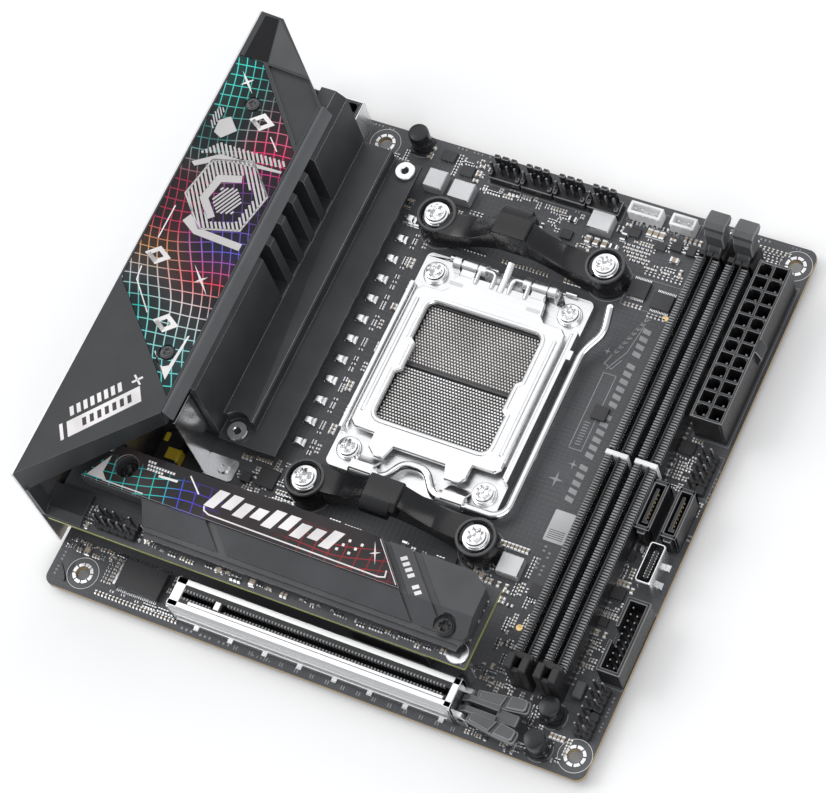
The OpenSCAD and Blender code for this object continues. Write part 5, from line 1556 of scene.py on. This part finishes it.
def cover_art():
    """Black film with a bent net of thin lines that runs from teal over blue to crimson."""
    made, tree, shader, where = new_material("cover_film")
    placed, x, y = board_millimetres(tree, where)
    lines = maths(tree, "MAXIMUM", net(tree, placed, x, y, 0.35, 2.5, 0.25, 0.035, 3.4),
                  net(tree, placed, x, y, 1.75, 3.4, 0.25, 0.03, 3.0))
    height = add_node(tree, "MapRange", {"Value": y, "From Min": 50.0, "From Max": 157.0}).outputs[0]
    left = ramp(tree, height, (
        (0.0, (0.02, 0.5, 0.45)), (0.22, (0.03, 0.6, 0.55)), (0.3, (0.5, 0.5, 0.5)),
        (0.38, (0.6, 0.3, 0.12)), (0.46, (0.5, 0.03, 0.08)), (0.6, (0.3, 0.03, 0.06)),
        (0.72, (0.1, 0.4, 0.36)), (1.0, (0.05, 0.7, 0.6))))
    right = ramp(tree, height, (
        (0.0, (0.02, 0.55, 0.5)), (0.16, (0.3, 0.6, 0.6)), (0.26, (0.7, 0.6, 0.6)),
        (0.34, (0.8, 0.06, 0.08)), (0.44, (0.12, 0.1, 0.55)), (0.62, (0.2, 0.06, 0.3)),
        (0.74, (0.8, 0.02, 0.14)), (0.93, (0.3, 0.3, 0.32))))
    across = add_node(tree, "MapRange", {"Value": x, "From Min": 8.0, "From Max": 18.0}).outputs[0]
    ink = blend_colours(tree, across, left, right)
    clouds = add_node(tree, "TexNoise", {"Vector": placed, "Scale": 0.05, "Detail": 1.0}).outputs["Fac"]
    glow = add_node(tree, "MapRange", {"Value": clouds, "From Min": 0.42, "From Max": 0.66,
                                       "To Min": 0.01, "To Max": 0.06}).outputs[0]
    ground = blend_colours(tree, glow, (0.006, 0.007, 0.009, 1), ink)
    strength = add_node(tree, "MapRange", {"Value": clouds, "From Min": 0.3, "From Max": 0.5,
                                           "To Min": 0.35, "To Max": 1.0}).outputs[0]
    paint = blend_colours(tree, maths(tree, "MULTIPLY", lines, strength), ground, ink)
    return finish_print(made, tree, shader, where, paint, 0.24)


def storage_art():
    """Glossy dark film: teal net at the rear end, blue patch, crimson net at the front end."""
    made, tree, shader, where = new_material("storage_film")
    placed, x, y = board_millimetres(tree, where)
    lines = maths(tree, "MAXIMUM", net(tree, placed, x, y, 0.1, 4.0, 0.24, 0.03, 1.6),
                  net(tree, placed, x, y, 1.68, 2.8, 0.24, 0.04, 2.0))
    height = add_node(tree, "MapRange", {"Value": x, "From Min": 8.0, "From Max": 110.0}).outputs[0]
    ink = ramp(tree, height, (
        (0.0, (0.03, 0.5, 0.46)), (0.24, (0.03, 0.55, 0.5)), (0.3, (0.06, 0.08, 0.62)),
        (0.38, (0.08, 0.03, 0.36)), (0.44, (0.03, 0.02, 0.02)), (0.6, (0.04, 0.02, 0.02)),
        (0.7, (0.3, 0.025, 0.03)), (0.9, (0.3, 0.02, 0.025)), (1.0, (0.05, 0.02, 0.02))))
    # the net fades out towards the socket side
    slope = maths(tree, "SUBTRACT", 34.6, maths(tree, "ABSOLUTE", maths(tree, "MULTIPLY",
                  maths(tree, "SUBTRACT", x, 58.0), 0.03)))
    low_side = add_node(tree, "MapRange", {"Value": maths(tree, "SUBTRACT", y, slope), "From Min": -1.5,
                                           "From Max": 1.0, "To Min": 1.0, "To Max": 0.0}).outputs[0]
    brown = blend_colours(tree, add_node(tree, "MapRange", {
        "Value": add_node(tree, "TexNoise", {"Vector": placed, "Scale": 0.04}).outputs["Fac"],
        "From Min": 0.4, "From Max": 0.6}).outputs[0], (0.018, 0.016, 0.018, 1), (0.045, 0.036, 0.036, 1))
    paint = blend_colours(tree, maths(tree, "MULTIPLY", lines, low_side), brown, ink)
    return finish_print(made, tree, shader, where, paint, 0.22)


COVER_FILM = cover_art()
STORAGE_FILM = storage_art()
EMBLEM = plain("emblem_metal", (0.5, 0.485, 0.48), 0.36, metal=0.6, grain=1800, depth=4e-6, vary=0.04,
               rough_vary=0.05)
FILM_INK = plain("film_ink", (0.74, 0.71, 0.71), 0.4)

# The cover's top slopes down from the rear edge towards the heatsink: 4 mm over its 29.4 mm depth.
SLOPE = -4 / 29.4
TOP_AT_REAR = 44 + 1.2 * SLOPE - 0.1


def on_slope(shape):
    """Makes a shape's z a height over the sloped top of the cover."""
    lean = Matrix.Identity(4)
    lean[2][0], lean[2][3] = SLOPE, TOP_AT_REAR
    shape.place = lean


def crossing(outline, point, way):
    """Where a line enters and leaves a convex outline, as distances along it."""
    hits = []
    for a, b in zip(outline, outline[1:] + outline[:1]):
        a, b = Vector(a) - point, Vector(b) - point
        e = b - a
        det = way.x * -e.y + way.y * e.x
        if abs(det) > 1e-9:
            share = (way.x * a.y - way.y * a.x) / det
            if 0 <= share < 1:
                hits.append((a.x * -e.y + a.y * e.x) / det)
    return (min(hits), max(hits)) if len(hits) > 1 else None


def hatch(s, outline, hole, angle, pitch, width, thick):
    """Parallel bars inside a convex outline and outside a convex hole."""
    way = Vector((math.cos(angle), math.sin(angle)))
    side = Vector((-way.y, way.x))
    middle = sum((Vector(p) for p in outline), Vector((0, 0))) / len(outline)
    for k in range(-40, 41):
        point = middle + side * (k * pitch)
        span = crossing(outline, point, way)
        if not span:
            continue
        cut = crossing(hole, point, way) if hole else None
        spans = [(span[0], cut[0]), (cut[1], span[1])] if cut else [span]
        for a, b in spans:
            if b - a > width:
                s.stroke([point + way * a, point + way * b], width, 0.0, thick)


def hexagon(x, y, rx, ry, turn=0.0):
    """A stretched hexagon's outline."""
    return [(x + rx * math.cos(turn + math.tau * k / 6), y + ry * math.sin(turn + math.tau * k / 6))
            for k in range(6)]


def cover_print():
    """Raised striped badge, with plain white marks round it, on the cover's sloped top."""
    s = Shape()
    on_slope(s)
    thick = 0.22
    # badge: a striped hexagonal band, two solid corner bars and a small core
    outer, inner = hexagon(15.6, 113.6, 11.6, 13.0, 0.3), hexagon(16.2, 112.6, 6.4, 7.4, 0.3)
    hatch(s, outer, hexagon(16.2, 112.6, 7.6, 8.8, 0.3), 2.2, 1.15, 0.62, thick)
    s.stroke(outer + outer[:2], 0.5, 0.0, thick)
    s.stroke(inner[1:5], 2.3, 0.0, thick)
    hatch(s, hexagon(16.6, 112.0, 4.2, 4.8, 0.3), None, 1.1, 1.0, 0.5, thick)
    # striped and solid bars above the badge
    hatch(s, [(2.0, 122.6), (6.6, 128.2), (27.0, 129.6), (27.0, 127.4), (6.8, 124.6)], None, 2.2, 1.15,
          0.62, thick)
    s.prism([(1.6, 119.6), (3.0, 118.6), (9.6, 123.2), (27.0, 125.6), (27.0, 126.4), (8.4, 124.9)],
            0.0, thick, 0.05)
    s.prism([(3.4, 130.6), (6.0, 129.6), (9.4, 133.4), (5.8, 137.0), (3.0, 134.6)], 0.0, thick, 0.05)
    hatch(s, [(1.4, 131.8), (2.6, 131.2), (3.4, 138.4), (1.6, 139.0), (0.6, 136.0)], None, 2.2, 0.8, 0.36,
          thick)
    s.prism([(7.6, 101.6), (12.4, 98.9), (26.6, 98.9), (26.6, 101.2), (13.2, 101.2), (9.0, 104.4)],
            0.0, thick, 0.05)
    s.slot = 1
    mark = 0.02
    star(s, 5.2, 149.0, 2.2, mark, 1.9, 2.35)
    star(s, 20.6, 86.7, 2.2, mark, 2.4, 2.35)
    s.stroke([(3.6, 105.2), (3.6, 94.1)], 0.35, mark)
    s.stroke([(3.2, 84.4), (3.8, 80.1), (11.2, 71.9)], 0.35, mark)
    s.stroke([(19.1, 135.3), (22.8, 131.7)], 0.35, mark)
    # plain blocks spread over the film
    for x, y in ((3.2, 88.8), (12.0, 138.4), (14.6, 70.6)):
        slanted(s, x, y, 3.6, 3.4, 0.9, mark, 1.3, (0.86, -0.5))
    # arrow round the lower screw
    s.flat([(24.9, 55.3), (25.4, 70.0), (24.9, 69.6), (24.0, 59.6), (22.4, 58.6), (20.2, 59.4),
            (18.6, 62.3), (18.4, 61.9)], mark)
    # bars and a plus beside the cover's slot end
    u = Vector((0.62, 0.785)).normalized()
    v = Vector((-u.y, u.x))
    at = Vector((6.6, 27.6))
    raised = mark + 0.1
    slanted(s, *at, 1.0, 4.6, 1.6, raised, 0, u)
    s.flat([tuple(at + u * a + v * b) for a, b in ((2.2, 0), (24.6, 0), (26.2, 4.4), (3.8, 4.4))], raised)
    for k in range(8):
        slanted(s, *(at + u * (5.4 + k * 2.1) + v * 5.4), 1.2, 2.6, 0.9, raised, 0, u)
    plus = at + u * 26.4 + v * 6.4
    for way in (u, v):
        s.stroke([plus - way * 1.7, plus + way * 1.7], 0.6, raised)
    s.slot = 2
    for k in range(7):
        slanted(s, *(at + u * (7.2 + k * 2.3) + v * 1.1), 1.2, 2.2, 0.8, mark + 0.14, 0, u)
    s.piece("cover_print", "board", [EMBLEM, FILM_INK, COVER], "cover_panel")


def cover_facets_painted_light():
    """A painted highlight and a painted shade at the far end of the cover's top: flat patches lighter and
    darker where the real top has facets tilted to and away from the light.
    """
    s = Shape()
    on_slope(s)
    # painted highlight: the lighter patch
    s.prism([(5.0, 171.3), (8.2, 157.0), (20.7, 157.2)], 0.08, 0.13, 0)
    # painted shade: the dark patch on the rear strip
    s.slot = 1
    s.prism([(0.5, 171.0), (0.5, 156.4), (7.9, 157.0), (4.7, 171.3)], 0.08, 0.12, 0)
    s.piece("cover_facets_painted_light", "board", [FACET_PAINTED_HIGHLIGHT, FACET_PAINTED_SHADE], "io_cover")


def storage_print():
    """White marks on the storage heatsink: a row of plain leaning bars, an outline and a tip."""
    z = (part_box("storage_top_plate")[1].z - pcb_high.z) / MM
    s = Shape()
    s.stroke([(15.4, 26.1), (28.5, 26.2)], 0.35, z)
    s.flat([(10.2, 26.2), (14.6, 33.8), (14.6, 32.0), (14.4, 28.4), (16.6, 26.2)], z)
    s.stroke([(47.0, 28.8), (47.5, 27.6), (49.3, 26.9), (102.4, 26.5), (104.2, 27.0), (103.8, 28.9)],
             0.4, z)
    s.stroke([(39.2, 35.7), (43.9, 31.5)], 0.42, z)
    s.stroke([(98.2, 36.8), (108.0, 26.0)], 0.22, z)
    star(s, 98.6, 32.5, 1.6, z, 2.2, 2.0)
    # leaning bars that step up and down, with small squares after the last
    lean, step = 0.45, 1.15
    for k in range(9):
        x, low, high = 46.6 + k * 4.5, 29.0 + step * (k % 2), 34.8 - step * (k // 2 % 2)
        foot = x + (low - 29.0) * lean
        over = (high - low) * lean
        s.flat([(foot, low), (foot + 3.2, low), (foot + 3.2 + over, high), (foot + over, high)], z)
    for k in range(6):
        x, y = 87.6 + k * 1.25, 29.6 + k % 3 * 1.7
        s.flat(rectangle(x, x + 0.8, y, y + 0.8), z)
    for k, length in enumerate((3.4, 9.2, 5.8)):
        x, y = 25.6 + k * 0.3, 35.4 - k * 1.1
        for i in range(int(length / 0.9)):
            s.flat(rectangle(x + i * 0.9, x + i * 0.9 + 0.62, y, y + 0.7), z)
    s.stroke([(30.4, 32.6), (36.4, 32.9)], 0.7, z)
    s.piece("storage_print", "board", [FILM_INK], "storage_top_plate")

    # plain leaning bars on the metal between the two right-hand grooves
    top = (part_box("storage_heatsink")[1].z - pcb_high.z) / MM
    s = Shape()
    u = Vector((1, -1)).normalized()
    for k in range(7):
        if k != 4:
            x, y = Vector((105.3, 34.0)) + u * (k * 1.85)
            slanted(s, x, y, 1.15, 1.9, 0.3, top, 0, tuple(u))
    s.piece("storage_bar_print", "board", [FILM_INK], "storage_heatsink")


dress("cover_panel", COVER_FILM, COVER_FILM, 0.1)
dress("storage_top_plate", STORAGE_FILM, SLATE_EDGE_HIGHLIGHT, 0.12)
cover_print()
cover_facets_painted_light()
storage_print()


# ---------------------------------------------------------------- rear ports

def rear_ports():
    """Plastic tongues and gold contacts inside the rear ports, and the antenna sockets' barrels."""
    plastic, gold = Shape(), Shape()

    def tongue(y0, y1, z0, z1, deep, colour, contacts):
        """One tongue, a hair larger than the plain one it covers, with a row of contacts under it."""
        plastic.slot = colour
        plastic.block(-1.46, deep, y0 - 0.06, y1 + 0.06, z0 - 0.06, z1 + 0.06, 0.12, True)
        pitch = (y1 - y0) / (contacts + 1)
        for k in range(contacts):
            y = y0 + (k + 1) * pitch
            gold.block(-0.9, deep - 1, y - pitch * 0.28, y + pitch * 0.28, z0 - 0.1, z0 - 0.02, 0)

    for y0, y1 in ((75, 89), (91, 105), (141.5, 155.5)):
        for z in (2, 9.3):
            tongue(y0 + 1.8, y1 - 1.8, z + 4.6, z + 5.6, 8.8, 1, 5)
    tongue(126, 136.4, 7, 9, 7.8, 1, 5)
    tongue(60.1, 69.9, 3.4, 4.8, 8.8, 0, 10)
    for z in (2, 14):
        tongue(110.7, 117.3, z + 1.3, z + 2, 5.8, 0, 9)
    # network jack: spring wires and two small lamps
    for k in range(8):
        y = 131.2 + (k - 3.5) * 1.02
        gold.tube([(10, y, 24.2), (3, y, 24.2), (7, y, 20.6)], 0.2, 8)
    for y, colour in ((124.1, 2), (138.3, 3)):
        plastic.slot = colour
        plastic.block(-1.95, -1.6, y - 0.7, y + 0.7, 22.6, 25.2, 0.12)
    # antenna sockets: threaded barrel, insulator and centre pin
    for z in (7.5, 19.5):
        for k, x in enumerate((-1.3, -1.55, -1.8)):
            gold.prism(circle(48, z, 3.28 if k < 2 else 3.1, 32), x - 0.16, x, 0.06, "x")
        plastic.slot = 4
        plastic.prism(circle(48, z, 2.0, 28), -1.97, -1.7, 0.05, "x")
        gold.prism(circle(48, z, 0.55, 16), -1.99, -1.8, 0.05, "x")
    plastic.piece("port_plastic", "board", [BLACK, TEAL, GREEN_LENS, AMBER_LENS, WHITE], "audio_jacks")
    gold.piece("port_contacts", "board", [GOLD], "socket_contacts")


rear_ports()


# ---------------------------------------------------------------- floor, lights and camera

def studio():
    """A pale floor, a pale room and four soft lamps."""
    low = cad_low.z - 0.0002
    bpy.ops.mesh.primitive_plane_add(size=6, location=(0, 0, low))
    floor = bpy.context.object
    floor.name = "floor"
    made, tree, shader, where = new_material("floor_paper")
    surface(tree, shader, where, (0.9, 0.9, 0.9, 1), 0.7, 300, 1e-5, 0.01, 0.05, 4)
    floor.data.materials.append(made)
    world = bpy.data.worlds.new("room")
    world.use_nodes = True
    world.node_tree.nodes["Background"].inputs["Color"].default_value = (0.95, 0.97, 1.0, 1)
    world.node_tree.nodes["Background"].inputs["Strength"].default_value = 0.5
    bpy.context.scene.world = world
    for name, place, size, power in (
        ("panel", (-0.46, 0.44, 1.13), 1.6, 5.6),
        ("key", (-0.85, -0.2, 0.85), 0.8, 5.5),
        ("fill", (0.7, -0.5, 0.8), 0.8, 4.0),
        ("rim", (0.1, 0.9, 0.5), 0.5, 2.0),
    ):
        lamp = bpy.data.lights.new(name, "AREA")
        lamp.size = size
        lamp.energy = power
        holder = bpy.data.objects.new(name, lamp)
        holder.location = place
        holder.rotation_mode = "QUATERNION"
        holder.rotation_quaternion = (-Vector(place)).to_track_quat("-Z", "Y")
        bpy.context.scene.collection.objects.link(holder)


def camera():
    """The camera: high over the front edge, turned about its own axis, with a long lens."""
    azimuth, elevation, roll = (math.radians(a) for a in (46.70, 60.63, -24.38))
    aim = BOARD @ Vector((77.3, 89.4, 0))
    distance = 0.8835
    back = Vector((math.sin(azimuth) * math.cos(elevation), -math.cos(azimuth) * math.cos(elevation),
                   math.sin(elevation)))
    data = bpy.data.cameras.new("camera")
    data.lens = 134.5
    data.sensor_width = 36
    data.clip_start, data.clip_end = 0.01, 20
    made = bpy.data.objects.new("camera", data)
    bpy.context.scene.collection.objects.link(made)
    made.location = aim + back * distance
    made.rotation_mode = "QUATERNION"
    level = (-back).to_track_quat("-Z", "Y")
    made.rotation_quaternion = level @ Matrix.Rotation(roll, 3, "Z").to_quaternion()
    bpy.context.scene.camera = made


studio()
camera()
bpy.context.scene.view_settings.view_transform = "Standard"
